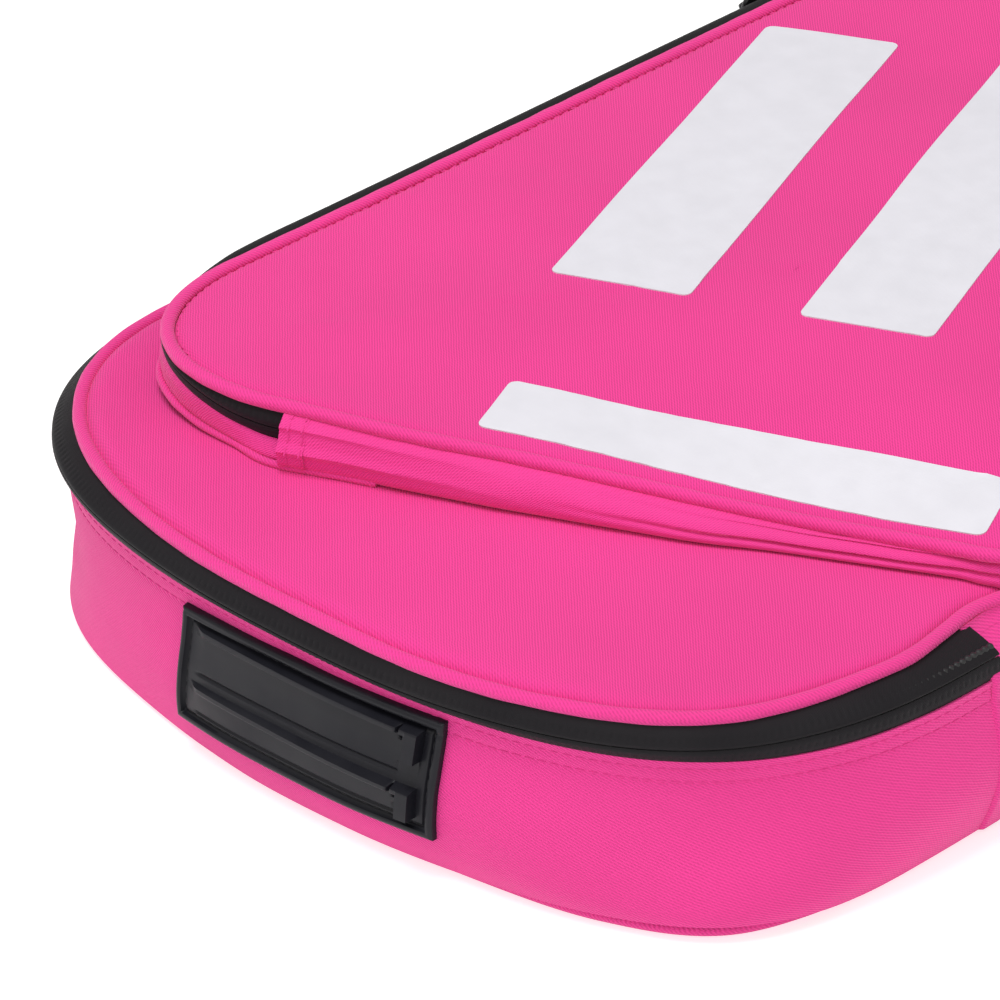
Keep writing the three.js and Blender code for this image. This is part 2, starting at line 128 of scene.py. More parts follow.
# ---- colours, linear ----
PINK = (0.83, 0.044, 0.292)
BLACK_TAPE = (0.005, 0.004, 0.006)
COIL_BLACK = (0.012, 0.012, 0.014)
RUBBER = (0.006, 0.006, 0.010)
PRINT_WHITE = (0.67, 0.665, 0.72)
LINING_GREY = (0.030, 0.030, 0.034)
FOAM_GREY = (0.10, 0.10, 0.105)
WEBBING_BLACK = (0.016, 0.016, 0.018)
METAL_BLACK = (0.025, 0.025, 0.028)


# ---- curves and small helpers ----
def smoothstep(low, high, value):
    share = np.clip((np.asarray(value, float) - low) / (high - low), 0, 1)
    return share * share * (3 - 2 * share)


def spline(x, knots, values):
    """A smooth curve through the knots, flat outside them."""
    knots = np.asarray(knots, float)
    values = np.asarray(values, float)
    slopes = np.gradient(values, knots)
    x = np.clip(np.asarray(x, float), knots[0], knots[-1])
    i = np.clip(np.searchsorted(knots, x, side="right") - 1, 0, len(knots) - 2)
    width = knots[i + 1] - knots[i]
    t = (x - knots[i]) / width
    ease = t * t * (3 - 2 * t)
    bend = t * (1 - t) ** 2 * slopes[i] + t * t * (t - 1) * slopes[i + 1]
    return (1 - ease) * values[i] + ease * values[i + 1] + width * bend


def ripple(x, y, wavelength, seed):
    """Soft irregular waves between about -1 and 1."""
    random = np.random.default_rng(seed)
    count = 7
    total = 0
    for _ in range(count):
        angle = random.uniform(0, math.tau)
        length = wavelength * random.uniform(0.7, 1.6)
        phase = random.uniform(0, math.tau)
        total = total + np.sin(math.tau * (x * math.cos(angle) + y * math.sin(angle)) / length + phase)
    return total / math.sqrt(count)


def distances_along(points):
    """Distance of each point of a polyline from its first one."""
    steps = np.linalg.norm(np.diff(points, axis=0), axis=1)
    return np.concatenate([[0], np.cumsum(steps)])


def unit(vectors):
    return vectors / np.linalg.norm(vectors, axis=-1)[..., None]


class Loop:
    """A closed outline sampled as a dense polyline, read by distance along it."""

    def __init__(self, points):
        self.points = np.vstack([points, points[:1]])
        self.reached = distances_along(self.points)
        self.total = self.reached[-1]

    def at(self, s):
        s = np.mod(s, self.total)
        return np.stack([np.interp(s, self.reached, self.points[:, k]) for k in (0, 1)], -1)

    def normal(self, s):
        reach = 1.5
        way = unit(self.at(s + reach) - self.at(s - reach))
        return np.stack([-way[..., 1], way[..., 0]], -1)

    def offset(self, s, out):
        return self.at(s) + self.normal(s) * np.asarray(out)[..., None]

    def stations(self, step, start=0, end=None):
        if end is None:
            count = round(self.total / step)
            return np.arange(count) * self.total / count
        return np.linspace(start, end, max(2, round((end - start) / step) + 1))

    def nearest(self, x, y):
        """Distance to the outline and the arc position of the nearest point on it."""
        s = self.stations(2.0)
        outline = self.at(s)
        places = np.stack([np.ravel(x), np.ravel(y)], -1)
        distance = np.empty(len(places))
        arc = np.empty(len(places))
        chunk = 4000
        for i in range(0, len(places), chunk):
            part = slice(i, i + chunk)
            gap = np.hypot(*(places[part, None] - outline).transpose(2, 0, 1))
            best = gap.argmin(1)
            distance[part] = gap[np.arange(len(best)), best]
            arc[part] = s[best]
        return distance.reshape(np.shape(x)), arc.reshape(np.shape(x))


def rounded_end(half_width, depth, x, y, right_first):
    angle = math.pi * np.linspace(0, 1, 2401)[:-1]
    across = np.sign(np.cos(angle)) * np.abs(np.cos(angle)) ** (2 / END_POWER)
    side = 1 if right_first else -1
    return np.stack([x + side * half_width * across, y + depth * np.sin(angle) ** (2 / END_POWER)], -1)


def straight(x0, y0, x1, y1):
    share = np.linspace(0, 1, 101)[:-1, None]
    return (1 - share) * np.array([x0, y0]) + share * np.array([x1, y1])


def bezier(*points):
    a, b, c, d = (np.array(p, float) for p in points)
    t = np.linspace(0, 1, 201)[:-1, None]
    return (1 - t) ** 3 * a + 3 * t * (1 - t) ** 2 * b + 3 * t * t * (1 - t) * c + t ** 3 * d


def length_of(parts):
    return float(distances_along(np.vstack(parts))[-1])


main_parts = [
    straight(HALF_WIDTH, SIDE_FAR, HALF_WIDTH, SIDE_NEAR),
    rounded_end(HALF_WIDTH, -NEAR_DEPTH, 0, SIDE_NEAR, True),
    straight(-HALF_WIDTH, SIDE_NEAR, -HALF_WIDTH, SIDE_FAR),
    rounded_end(HALF_WIDTH, FAR_DEPTH, 0, SIDE_FAR, False),
]
POCKET_HALF_WIDTH = (POCKET_RIGHT - POCKET_LEFT) / 2
POCKET_MIDDLE = (POCKET_RIGHT + POCKET_LEFT) / 2
pocket_parts = [
    straight(POCKET_RIGHT, POCKET_SIDE_FAR, POCKET_RIGHT, -90),
    bezier((POCKET_RIGHT, -90), (POCKET_RIGHT, -100), (119, -104.5), (108, -108)),
    bezier((108, -108), (60, -128), (20, -156), (-44, -180)),
    bezier((-44, -180), (-66, -190), (POCKET_LEFT, -184), (POCKET_LEFT, -138)),
    straight(POCKET_LEFT, -138, POCKET_LEFT, POCKET_SIDE_FAR),
    rounded_end(POCKET_HALF_WIDTH, POCKET_FAR_DEPTH, POCKET_MIDDLE, POCKET_SIDE_FAR, False),
]
MAIN = Loop(np.vstack(main_parts))
POCKET = Loop(np.vstack(pocket_parts))
ZIP_START = SIDE_FAR - HINGE_NEAR_Y
ZIP_END = MAIN.total - HINGE_FAR_ARC
NEAR_MIDDLE = (length_of(main_parts[:1]) + length_of(main_parts[:2])) / 2
FAR_MIDDLE = (length_of(main_parts[:3]) + MAIN.total) / 2
POCKET_ZIP_START = length_of(pocket_parts[:3])
POCKET_ZIP_END = length_of(pocket_parts[:5])


# ---- shapes of the surfaces ----
def along_case(s, places, values):
    """A curve along the zipper line; places are distances from its near middle, positive to the right."""
    return spline(NEAR_MIDDLE - np.mod(s, MAIN.total), places, values)


def along_pocket(s, places, values):
    """A curve along the pocket's edge; places are distances from its zipper's near end."""
    turn = POCKET.total / 2
    return spline(np.mod(s - POCKET_ZIP_START + turn, POCKET.total) - turn, places, values)


FULL_PLACES = [-330, -210, -130, -100, -84, -62, -5, 325]
FULLNESS = [0.8, 0.4, 0.0, 0.02, 0.3, 0.55, 1.0, 0.8]
FOOT_PLACES = [-330, -195, -100, -55, -30, -10, 20, 60, 90, 118, 136, 150, 170, 195, 260, 325]
FOOT_OUT = [1.2, -2.0, -1.7, -1.9, -0.1, 1.4, 1.4, 1.2, 4.8, 8.0, 4.5, 0.8, -2.2, -3.2, 0.4, 1.2]
FOOT_LOW = [3.4, 1.4, 1.4, 1.4, 1.4, 1.4, 1.4, 2.0, 3.6, 4.6, 3.2, 1.6, 1.4, 1.4, 2.6, 3.4]
PIPING_PLACES = [-330, -195, -100, -55, -10, 60, 90, 118, 136, 150, 170, 195, 260, 325]
BOTTOM_PIPING_OUT = [1.0, -4.5, -4.3, -4.3, -1.2, -1.0, 2.9, 5.5, 1.3, -2.0, -5.0, -6.0, -1.0, 1.0]
LID_PLACES = [-330, -230, -176, -153, -134, -111, -71, -51, -34, 8, 33, 56,
              77, 97, 116, 136, 154, 174, 187, 200, 216, 240, 325]
LID_PIPING_OUT = [-5.0, -8.0, -8.4, -6.7, -5.7, -5.2, -3.9, -3.0, -2.3, -1.4, -1.1, -1.7,
                  -2.3, -2.6, -3.9, -6.9, -9.0, -9.9, -12.0, -13.6, -10.5, -6.5, -5.0]
SLIT_PLACES = [-330, -180, -100, -60, -20, 30, 70, 110, 140, 165, 193, 230, 325]
SLIT_HEIGHT = [46.6, 46.6, 46.5, 47.0, 46.0, 45.6, 46.4, 46.8, 47.8, 48.2, 48.6, 47, 46.6]
WALL_STITCH_ROWS = (41.2, 37.9)


def wall_out(s, z):
    """Outward offset of the side wall's face from the zipper line."""
    heights = [1.2, 3.2, 6, 13, 22, 31, 38, 43.4]
    slack = spline(z, heights, [-1.8, -2.0, -2.3, -2.7, -3.4, -2.6, -1.6, -0.3])
    full = spline(z, heights, [1.2, 1.9, 2.7, 3.3, 2.3, 0.4, -0.7, -0.5])
    share = along_case(s, FULL_PLACES, FULLNESS)
    face = slack + (full - slack) * share
    foot = along_case(s, FOOT_PLACES, FOOT_OUT) - (-1.8 + 3.0 * share)
    wave = 0.22 * ripple(s, z * 1.6, 55, 3) * np.sin(math.pi * np.clip((z - 3) / 40, 0, 1))
    tucks = 0.14 * np.exp(-((z - 41) / 2.4) ** 2) * np.sin(s / 5.2 + 1.7 * ripple(s, 0 * s, 60, 11))
    seams = sum(-0.28 * np.exp(-((z - row) / 0.55) ** 2) for row in WALL_STITCH_ROWS)
    return face + foot * (1 - smoothstep(2, 26, z)) + wave + tucks + seams


def lid_piping_out(s):
    return along_case(s, LID_PLACES, LID_PIPING_OUT)


def lid_top(x, y):
    """Height of the lid's fabric above the floor."""
    distance, arc = MAIN.nearest(x, y)
    inside = np.clip(distance + lid_piping_out(arc) - 1.5, 0, None)
    shoulder = 3.0 * (1 - np.exp(-inside / 1.3))
    crown = 2.0 * (1 - np.exp(-((inside / 30) ** 1.4)))
    calm = 1 - np.exp(-inside / 9)
    waves = calm * (0.30 * ripple(x, y, 70, 21) + 0.10 * ripple(x, y, 28, 22))
    puckers = 0.16 * np.exp(-((inside - 3.5) / 3.5) ** 2) * ripple(x, y, 13, 23)
    return LID_SEAM_Z + shoulder + crown + waves + puckers


RIM_PLACES = [-330, -200, -150, -128, -107, -86, -69, -52, -32, -5, 18, 40, 120, 330, 500]
RIM_HEIGHT = [66.0, 63.4, 63.0, 63.5, 65.0, 67.0, 68.5, 69.5, 70.2, 71.6, 71.9, 71.7, 71.0, 70.0, 66.0]


def pocket_piping_z(s):
    return along_pocket(s, RIM_PLACES, RIM_HEIGHT)


def pocket_top(x, y):
    """Height of the pocket's front panel above the floor."""
    distance, arc = POCKET.nearest(x, y)
    inside = np.clip(distance - POCKET_SEAM_INSET, 0, None)
    edge = pocket_piping_z(arc) - 1.5
    shoulder = 2.6 * (1 - np.exp(-inside / 1.2))
    share = 1 - np.exp(-((inside / 42) ** 1.25))
    middle = 72.6 + 1.2 * smoothstep(150, -60, y)
    calm = 1 - np.exp(-inside / 12)
    waves = calm * (0.35 * ripple(x, y, 90, 31) + 0.08 * ripple(x, y, 30, 32))
    puckers = 0.10 * np.exp(-((inside - 3) / 3) ** 2) * ripple(x, y, 11, 33)
    return edge + shoulder + (middle - edge - shoulder) * share + waves + puckers


# ---- mesh making ----
def to_frame(points):
    return (np.asarray(points, float) + ORIGIN) * MM


def mesh_object(name, vertices, faces, uvs=None, sharp_angle=40):
    """An object from points in millimetres, faces and one UV pair (metres) for each face corner."""
    mesh = bpy.data.meshes.new(name)
    mesh.from_pydata(to_frame(vertices).tolist(), [], [list(face) for face in faces])
    if uvs is not None:
        layer = mesh.uv_layers.new(name="UVMap")
        layer.data.foreach_set("uv", np.asarray(uvs, float).ravel())
    mesh.polygons.foreach_set("use_smooth", [True] * len(mesh.polygons))
    mesh.update()
    if sharp_angle is not None:
        mesh.set_sharp_from_angle(angle=math.radians(sharp_angle))
    thing = bpy.data.objects.new(name, mesh)
    bpy.context.scene.collection.objects.link(thing)
    return thing


@contextmanager
def edited_mesh(thing, sharp_angle):
    """Opens a piece's mesh for editing, writes it back and marks its sharp edges."""
    work = bmesh.new()
    work.from_mesh(thing.data)
    yield work
    work.to_mesh(thing.data)
    work.free()
    thing.data.set_sharp_from_angle(angle=math.radians(sharp_angle))


def inside_out(vertices, quads):
    """Says whether the faces of a closed surface look inwards."""
    a, b, c, d = (vertices[quads[:, k]] for k in range(4))
    volume = np.einsum("ij,ij->i", a, np.cross(b, c)).sum() + np.einsum("ij,ij->i", a, np.cross(c, d)).sum()
    return volume < 0


def grid_quads(rows, columns, closed_u, closed_v):
    """The faces of a grid of points, and the row and column of each of their four corners."""
    i, j = np.meshgrid(np.arange(rows - (not closed_u)), np.arange(columns - (not closed_v)), indexing="ij")
    i = i.ravel()
    j = j.ravel()
    corners = [(i, j), (i + 1, j), (i + 1, j + 1), (i, j + 1)]
    return np.stack([(a % rows) * columns + b % columns for a, b in corners], -1), corners


def grid_mesh(name, points, u, v, closed_u=False, closed_v=False, cap=False, sharp_angle=40):
    """A surface over a grid of points; u and v are the distances of its rows and columns in mm.

    u has one value more than the rows where the grid closes on itself, and v likewise.
    """
    rows, columns = points.shape[:2]
    vertices = points.reshape(-1, 3)
    quads, corners = grid_quads(rows, columns, closed_u, closed_v)
    uvs = np.stack([np.stack([u[a], v[b]], -1) for a, b in corners], 1)
    if cap:
        k = np.arange(columns // 2 - 1)
        ring = np.stack([k, k + 1, columns - 2 - k, columns - 1 - k], -1)
        last = ring[:, ::-1] + (rows - 1) * columns
        quads = np.vstack([quads, ring, last])
        ends = ((0, ring), (rows - 1, ring))
        end_uvs = [np.stack([np.full(ring.shape, u[row]), v[index]], -1) for row, index in ends]
        uvs = np.vstack([uvs, *end_uvs])
    if inside_out(vertices, quads):
        quads = quads[:, ::-1]
        uvs = uvs[:, ::-1]
    return mesh_object(name, vertices, quads.tolist(), uvs * MM, sharp_angle)


def section_lengths(section):
    """Distances round a closed section, back to its first corner."""
    return distances_along(np.vstack([section, section[:1]]))


def sweep(name, loop, s, out, z, whole=False, sharp_angle=40):
    """A closed section carried along an outline: out and z hold one row of corners for each station."""
    flat = loop.at(s)[:, None, :] + loop.normal(s)[:, None, :] * out[:, :, None]
    points = np.concatenate([flat, z[:, :, None]], -1)
    u = np.append(s, loop.total) if whole else s
    middle = len(s) // 2
    v = section_lengths(np.stack([out[middle], z[middle]], -1))
    return grid_mesh(name, points, u, v, whole, True, not whole, sharp_angle)


def thickened(out, z, thickness):
    """Closed section of a fabric strip: its outer face and, behind it, the inner one."""
    way_out = np.gradient(out, axis=1)
    way_z = np.gradient(z, axis=1)
    length = np.hypot(way_out, way_z) + 1e-9
    inner_out = out - way_z / length * thickness
    inner_z = z + way_out / length * thickness
    return np.hstack([out, inner_out[:, ::-1]]), np.hstack([z, inner_z[:, ::-1]])


def round_section(s, out, z, radius, sides):
    """A round section centred at out, z, which may change along the stations."""
    angle = math.tau * (np.arange(sides) + 0.5) / sides
    out, z, radius = ((value + 0.0 * s)[:, None] for value in (out, z, radius))
    return out + radius * np.cos(angle), z + radius * np.sin(angle)


def strip(name, loop, s, out, z, thickness, whole=False):
    """A fabric strip along an outline: out and z are the grid of its outer face."""
    return sweep(name, loop, s, *thickened(out, z, thickness), whole)


def cord(name, loop, s, out, z, radius, sides, whole=False, sharp_angle=40):
    """A round cord along an outline."""
    return sweep(name, loop, s, *round_section(s, out, z, radius, sides), whole, sharp_angle)


def panel_mesh(name, loop, inset, top, thickness, spine, step=2.0, first=0.5):
    """A fabric panel inside an outline; its rings run from the edge to a spine at X = 0."""
    s = loop.stations(step)
    edge = loop.offset(s, -(inset(s) if callable(inset) else inset + 0 * s))
    middle = np.stack([0 * s, np.clip(edge[:, 1], *spine)], -1)
    reach = np.hypot(*(middle - edge).T)
    distances = [0]
    widest = 4.5
    growth = 1.16
    while distances[-1] < reach.max():
        distances.append(distances[-1] + min(first * growth ** len(distances), widest))
    share = np.clip(np.array(distances) / reach.max(), 0, 1)
    flat = edge[:, None, :] + (middle - edge)[:, None, :] * share[None, :, None]
    height = top(flat[..., 0], flat[..., 1])
    upper = np.concatenate([flat, height[..., None]], -1)
    kept = sorted({0, *range(2, len(share), 3), len(share) - 1})
    under = upper[:, kept] - np.array([0, 0, thickness])
    points = np.concatenate([upper[:, ::-1], under], 1)
    vertices = points.reshape(-1, 3)
    quads, _ = grid_quads(*points.shape[:2], True, False)
    if inside_out(vertices, quads):
        quads = quads[:, ::-1]
    uvs = vertices[quads][..., :2] * MM
    thing = mesh_object(name, vertices, quads.tolist(), uvs, None)
    with edited_mesh(thing, 50) as work:
        # The points that meet on the spine are joined, and the faces that vanish there dropped.
        bmesh.ops.remove_doubles(work, verts=work.verts, dist=0.02 * MM)
        bmesh.ops.dissolve_degenerate(work, edges=work.edges, dist=0.005 * MM)
    return thing


def ring_faces(rings, sides, start=0):
    """The faces of a bar made of rings of points, with a flat face on each end."""
    faces = []
    for r in range(rings - 1):
        for k in range(sides):
            a = start + r * sides + k
            b = start + r * sides + (k + 1) % sides
            faces.append((a, b, b + sides, a + sides))
    last = start + (rings - 1) * sides
    return faces + [tuple(start + k for k in reversed(range(sides))), tuple(last + k for k in range(sides))]


def stitches(name, points, along, away, length=2.3, radius=0.27):
    """A row of short thread dashes: one at each point, lying along the given directions."""
    profile = np.array([(-0.5, 0.25), (-0.4, 0.75), (-0.15, 1), (0.15, 1), (0.4, 0.75), (0.5, 0.25)])
    sides = 6
    angle = math.tau * np.arange(sides) / sides
    along = unit(along)
    across = unit(np.cross(away, along))
    upward = np.cross(along, across)
    rings = []
    for share, size in profile:
        ring = (points + along * share * length)[:, None, :]
        ring = ring + radius * size * (np.cos(angle)[None, :, None] * across[:, None, :]
                                       + 0.8 * np.sin(angle)[None, :, None] * upward[:, None, :])
        rings.append(ring)
    solid = np.stack(rings, 1)
    ring_count = len(profile)
    faces = []
    for n in range(len(solid)):
        faces += ring_faces(ring_count, sides, n * ring_count * sides)
    return mesh_object(name, solid.reshape(-1, 3), faces, None, 60)


def stitch_line(name, curve, **sizes):
    """Stitches along a dense line of 3-D points given with the surface's outward direction."""
    points, away = curve
    reached = distances_along(points)
    at = np.arange(STITCH_PITCH / 2, reached[-1], STITCH_PITCH)

    def read(distance, rows):
        return np.stack([np.interp(distance, reached, rows[:, k]) for k in range(3)], -1)

    place = read(at, points)
    ahead = read(at + 0.5, points)
    return stitches(name, place, ahead - place + 1e-9, read(at, away), **sizes)


# ---- materials ----
class Nodes:
    """A node tree with a short call that adds a node, sets it up and links what feeds it."""

    def __init__(self, tree):
        self.tree = tree

    def node(self, kind, inputs=None, **settings):
        node = self.tree.nodes.new(kind)
        for key, value in settings.items():
            setattr(node, key, value)
        for key, value in (inputs or {}).items():
            if isinstance(value, bpy.types.NodeSocket):
                self.tree.links.new(value, node.inputs[key])
            else:
                node.inputs[key].default_value = value
        return node


class Graph(Nodes):
    """A material's node tree with short calls for the nodes used here."""

    def __init__(self, name, colour, roughness, **sockets):
        self.material = bpy.data.materials.new(name)
        self.material.use_nodes = True
        super().__init__(self.material.node_tree)
        self.shader = self.tree.nodes["Principled BSDF"]
        self.shader.inputs["Base Color"].default_value = (*colour, 1)
        self.shader.inputs["Roughness"].default_value = roughness
        for socket, value in sockets.items():
            self.shader.inputs[socket.replace("_", " ")].default_value = value

    def math(self, operation, a, b=0.0, c=0.0):
        return self.node("ShaderNodeMath", {0: a, 1: b, 2: c}, operation=operation).outputs[0]

    def uv(self, angle=0.0):
        source = self.node("ShaderNodeTexCoord").outputs["UV"]
        return self.node("ShaderNodeMapping", {"Vector": source, "Rotation": (0, 0, angle)}).outputs[0]

    def position(self):
        return self.node("ShaderNodeTexCoord").outputs["Object"]

    def noise(self, vector, scale, detail=2.0, roughness=0.5):
        inputs = {"Vector": vector, "Scale": scale, "Detail": detail, "Roughness": roughness}
        return self.node("ShaderNodeTexNoise", inputs).outputs["Fac"]

    def wave(self, coordinate, pitch, shift=0.0):
        """A sine between -1 and 1 with the given pitch in metres."""
        return self.math("SINE", self.math("MULTIPLY_ADD", coordinate, math.tau / pitch, shift))

    def axes(self, vector):
        parts = self.node("ShaderNodeSeparateXYZ", {0: vector})
        return parts.outputs[0], parts.outputs[1]

    def blend(self, share, low, high):
        ramp = self.node("ShaderNodeValToRGB", {"Fac": share})
        ramp.color_ramp.elements[0].color = (*low, 1)
        ramp.color_ramp.elements[1].color = (*high, 1)
        return ramp.outputs["Color"]

    def spread(self, value, low, high, to_low=0.0, to_high=1.0):
        inputs = {"Value": value, "From Min": low, "From Max": high, "To Min": to_low, "To Max": to_high}
        return self.node("ShaderNodeMapRange", inputs).outputs[0]

    def colour(self, socket):
        self.tree.links.new(socket, self.shader.inputs["Base Color"])

    def roughness(self, socket):
        self.tree.links.new(socket, self.shader.inputs["Roughness"])

    def bump(self, height, distance, strength=1.0, below=None):
        inputs = {"Height": height, "Distance": distance, "Strength": strength}
        if below is not None:
            inputs["Normal"] = below
        return self.node("ShaderNodeBump", inputs).outputs[0]

    def normal(self, socket):
        self.tree.links.new(socket, self.shader.inputs["Normal"])


def scaled(colour, factor):
    return tuple(min(1.0, channel * factor) for channel in colour)


def twill(name, colour, angle, pitch=0.58, depth=0.10, weave_shading=0.16):
    """Twill weave: fine diagonal ribs broken into short floats, with painted shade in the weave's valleys and
    a painted highlight on its crests, uneven dye and a soft sheen.
    """
    graph = Graph(name, colour, 0.78, Sheen_Weight=0.22, Sheen_Roughness=0.45, Specular_IOR_Level=0.28)
    graph.shader.inputs["Sheen Tint"].default_value = (1.0, 0.72, 0.86, 1)
    straight_uv = graph.uv()
    jitter = graph.noise(straight_uv, 260, 2)
    x, y = graph.axes(graph.uv(angle))
    bent = graph.math("MULTIPLY_ADD", jitter, 0.00042, x)
    ribs = graph.wave(bent, pitch * MM)
    floats = graph.wave(graph.math("MULTIPLY_ADD", bent, 1.3, y), pitch * 1.9 * MM)
    weave = graph.math("MULTIPLY_ADD", floats, 0.35, ribs)
    fuzz = graph.noise(straight_uv, 5200, 2)
    height = graph.math("MULTIPLY_ADD", fuzz, 0.9, weave)
    # Colour from the weave's height: painted shade in its valleys and a painted highlight on its crests,
    # mixed with random fuzz.
    shade_and_fuzz = graph.math("MULTIPLY_ADD", weave, 0.5, graph.math("MULTIPLY", fuzz, 0.9))
    share = graph.spread(shade_and_fuzz, -0.4, 1.3)
    cloud = graph.noise(graph.position(), 16, 3, 0.55)
    low = scaled(colour, 1 - weave_shading)
    high = scaled(colour, 1 + weave_shading * 0.45)
    shaded_weave_colour = graph.blend(share, low, high)
    tint = graph.blend(graph.spread(cloud, 0.3, 0.7), (0.93, 0.90, 0.92), (1.0, 1.0, 1.0))
    mix = graph.node("ShaderNodeMix", {0: 1.0, 6: shaded_weave_colour, 7: tint}, data_type="RGBA", blend_type="MULTIPLY")
    graph.colour(mix.outputs[2])
    graph.roughness(graph.spread(cloud, 0.3, 0.7, 0.72, 0.84))
    broad = graph.bump(graph.noise(graph.position(), 90, 3, 0.6), 0.0012, 0.22)
    graph.normal(graph.bump(height, depth * MM, 0.55, broad))
    return graph.material


def plain_weave(name, colour, pitch, depth, roughness=0.8, sheen=0.2, weave_shading=0.35):
    """Plain weave of a tape, a lining or webbing, with painted shade where the weave dips and a painted
    highlight where it rises.
    """
    graph = Graph(name, colour, roughness, Sheen_Weight=sheen, Sheen_Roughness=0.4, Specular_IOR_Level=0.22)
    x, y = graph.axes(graph.uv())
    warp = graph.wave(x, pitch * MM)
    weft = graph.wave(y, pitch * MM, 1.57)
    weave = graph.math("MULTIPLY", warp, weft)
    fuzz = graph.noise(graph.uv(), 3800, 2)
    height = graph.math("MULTIPLY_ADD", fuzz, 0.8, weave)
    # Colour from the weave's height: painted shade in its dips and a painted highlight on its rises, mixed
    # with random fuzz.
    share = graph.spread(height, -0.8, 1.6)
    graph.colour(graph.blend(share, scaled(colour, 1 - weave_shading), scaled(colour, 1 + weave_shading)))
    cloud = graph.noise(graph.position(), 40, 3)
    graph.roughness(graph.spread(cloud, 0.3, 0.7, roughness - 0.08, roughness + 0.08))
    broad = graph.bump(cloud, 0.0006, 0.3)
    graph.normal(graph.bump(height, depth * MM, 0.5, broad))
    return graph.material


def moulded(name, colour, roughness, grain=900, depth=0.04, wear=0.25, **sockets):
    """Moulded rubber, plastic or painted metal with fine grain and slight wear."""
    graph = Graph(name, colour, roughness, **sockets)
    place = graph.position()
    fine = graph.noise(place, grain * 4, 3, 0.6)
    cloud = graph.noise(place, 60, 4, 0.6)
    worn = graph.spread(cloud, 0.3, 0.75)
    graph.colour(graph.blend(worn, scaled(colour, 1 - wear), scaled(colour, 1 + wear)))
    graph.roughness(graph.spread(cloud, 0.3, 0.7, roughness - 0.07, roughness + 0.1))
    graph.normal(graph.bump(fine, depth * MM, 0.5))
    return graph.material


def print_film(name):
    """White transfer film: satin, with the cloth's ribs just showing through."""
    graph = Graph(name, PRINT_WHITE, 0.42, Specular_IOR_Level=0.4)
    x, _ = graph.axes(graph.uv(math.radians(45)))
    ribs = graph.wave(x, 0.58 * MM)
    cloud = graph.noise(graph.position(), 120, 4, 0.6)
    fine = graph.noise(graph.position(), 2600, 2)
    # The colour is mostly a random cloud, with a faint painted shade along the cloth's ribs.
    share = graph.spread(graph.math("MULTIPLY_ADD", ribs, 0.05, cloud), 0.3, 0.7)
    graph.colour(graph.blend(share, scaled(PRINT_WHITE, 0.955), PRINT_WHITE))
    graph.roughness(graph.spread(cloud, 0.3, 0.7, 0.36, 0.5))
    height = graph.math("MULTIPLY_ADD", fine, 0.6, graph.math("MULTIPLY", ribs, 0.35))
    graph.normal(graph.bump(height, 0.05 * MM, 0.5))
    return graph.material


# Each look is a material and the record's slot for it.
FABRIC_PANEL = (twill("pink_twill_panel", PINK, math.radians(-45), pitch=0.64, weave_shading=0.36), "shell_fabric")
FABRIC_WALL = (twill("pink_twill_wall", PINK, math.radians(68), 0.66, 0.12, 0.26), "shell_fabric")
FABRIC_PIPING = (twill("pink_twill_piping", PINK, math.radians(42), 0.8, 0.13, 0.26), "shell_fabric")
FABRIC_ROLL = (twill("pink_twill_roll", PINK, math.radians(-38), 0.62, 0.12, 0.2), "shell_fabric")
THREAD = (twill("pink_thread", scaled(PINK, 0.96), 0.6, pitch=0.3, depth=0.03), "shell_fabric")
TAPE_BLACK = (plain_weave("black_zip_tape", BLACK_TAPE, 0.5, 0.05, 0.66, 0.06, 0.3), "zip_tape")
WEBBING = (plain_weave("black_webbing", WEBBING_BLACK, 1.5, 0.25, 0.7, weave_shading=0.4), "webbing")
LINING = (plain_weave("grey_lining", LINING_GREY, 0.45, 0.05, 0.75, weave_shading=0.3), "lining_fabric")
DARK_THREAD = (plain_weave("black_thread", WEBBING_BLACK, 0.4, 0.05), "webbing")
FOAM = (moulded("grey_foam", FOAM_GREY, 0.9, grain=500, depth=0.2), "foam")
COIL = (moulded("black_coil", COIL_BLACK, 0.35, depth=0.02), "zip_coil")
RUBBER_BLACK = (moulded("black_rubber", RUBBER, 0.44, 700, 0.03, 0.12, Specular_IOR_Level=0.28),
                "foot_rubber")
METAL = (moulded("black_slider_metal", METAL_BLACK, 0.33, depth=0.01, Metallic=0.6, Coat_Weight=0.25),
         "slider_metal")
FILM = (print_film("white_print_film"), "print_film")


def finish(thing, look, body, *nodes):
    """Gives a piece its material, the body it rides on and the CAD nodes it stands for; the look's slot name
    is not used.
    """
    material, slot = look
    thing.data.materials.append(material)
    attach(thing, body)
    if nodes:
        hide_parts(*nodes)


# ---- base shell ----
def columns(low, high, count, stations):
    """Heights from low to high, which may change from station to station."""
    low = (low + 0 * stations)[:, None]
    high = (high + 0 * stations)[:, None]
    return low + (high - low) * np.linspace(0, 1, count)


def level(z):
    """A flat sheet's height at every point."""
    return lambda x, y: z + 0 * x


def beside(loop, s, out, z):
    """Points beside an outline at the given heights, with the outward direction at each."""
    return np.column_stack([loop.offset(s, out), z + 0 * s]), np.column_stack([loop.normal(s), 0 * s])


def sew(name, curve, body, **sizes):
    finish(stitch_line(name, curve, **sizes), THREAD, body)


def foot_height(s):
    return along_case(s, FOOT_PLACES, FOOT_LOW)


def piping_inset(s):
    return 0.5 - along_case(s, PIPING_PLACES, BOTTOM_PIPING_OUT)


def padding_inset(s):
    return 3.2 - wall_out(s, 5)


def hinge_face(s, z):
    """The tall side wall leans from the zipper line in to the lid's piping."""
    low = wall_out(s, np.minimum(z, 43.4))
    return low + smoothstep(42.5, 53.5, z) * (lid_piping_out(s) + 1.1 - low)


def hinge_seam(s):
    """The folded edge where the tall side wall laps over the zipped one."""
    start = MAIN.total + ZIP_START
    return 0.9 * smoothstep(start + 0.6, start - 0.6, s) * (1 - 0.75 * smoothstep(start - 5, start - 11, s))


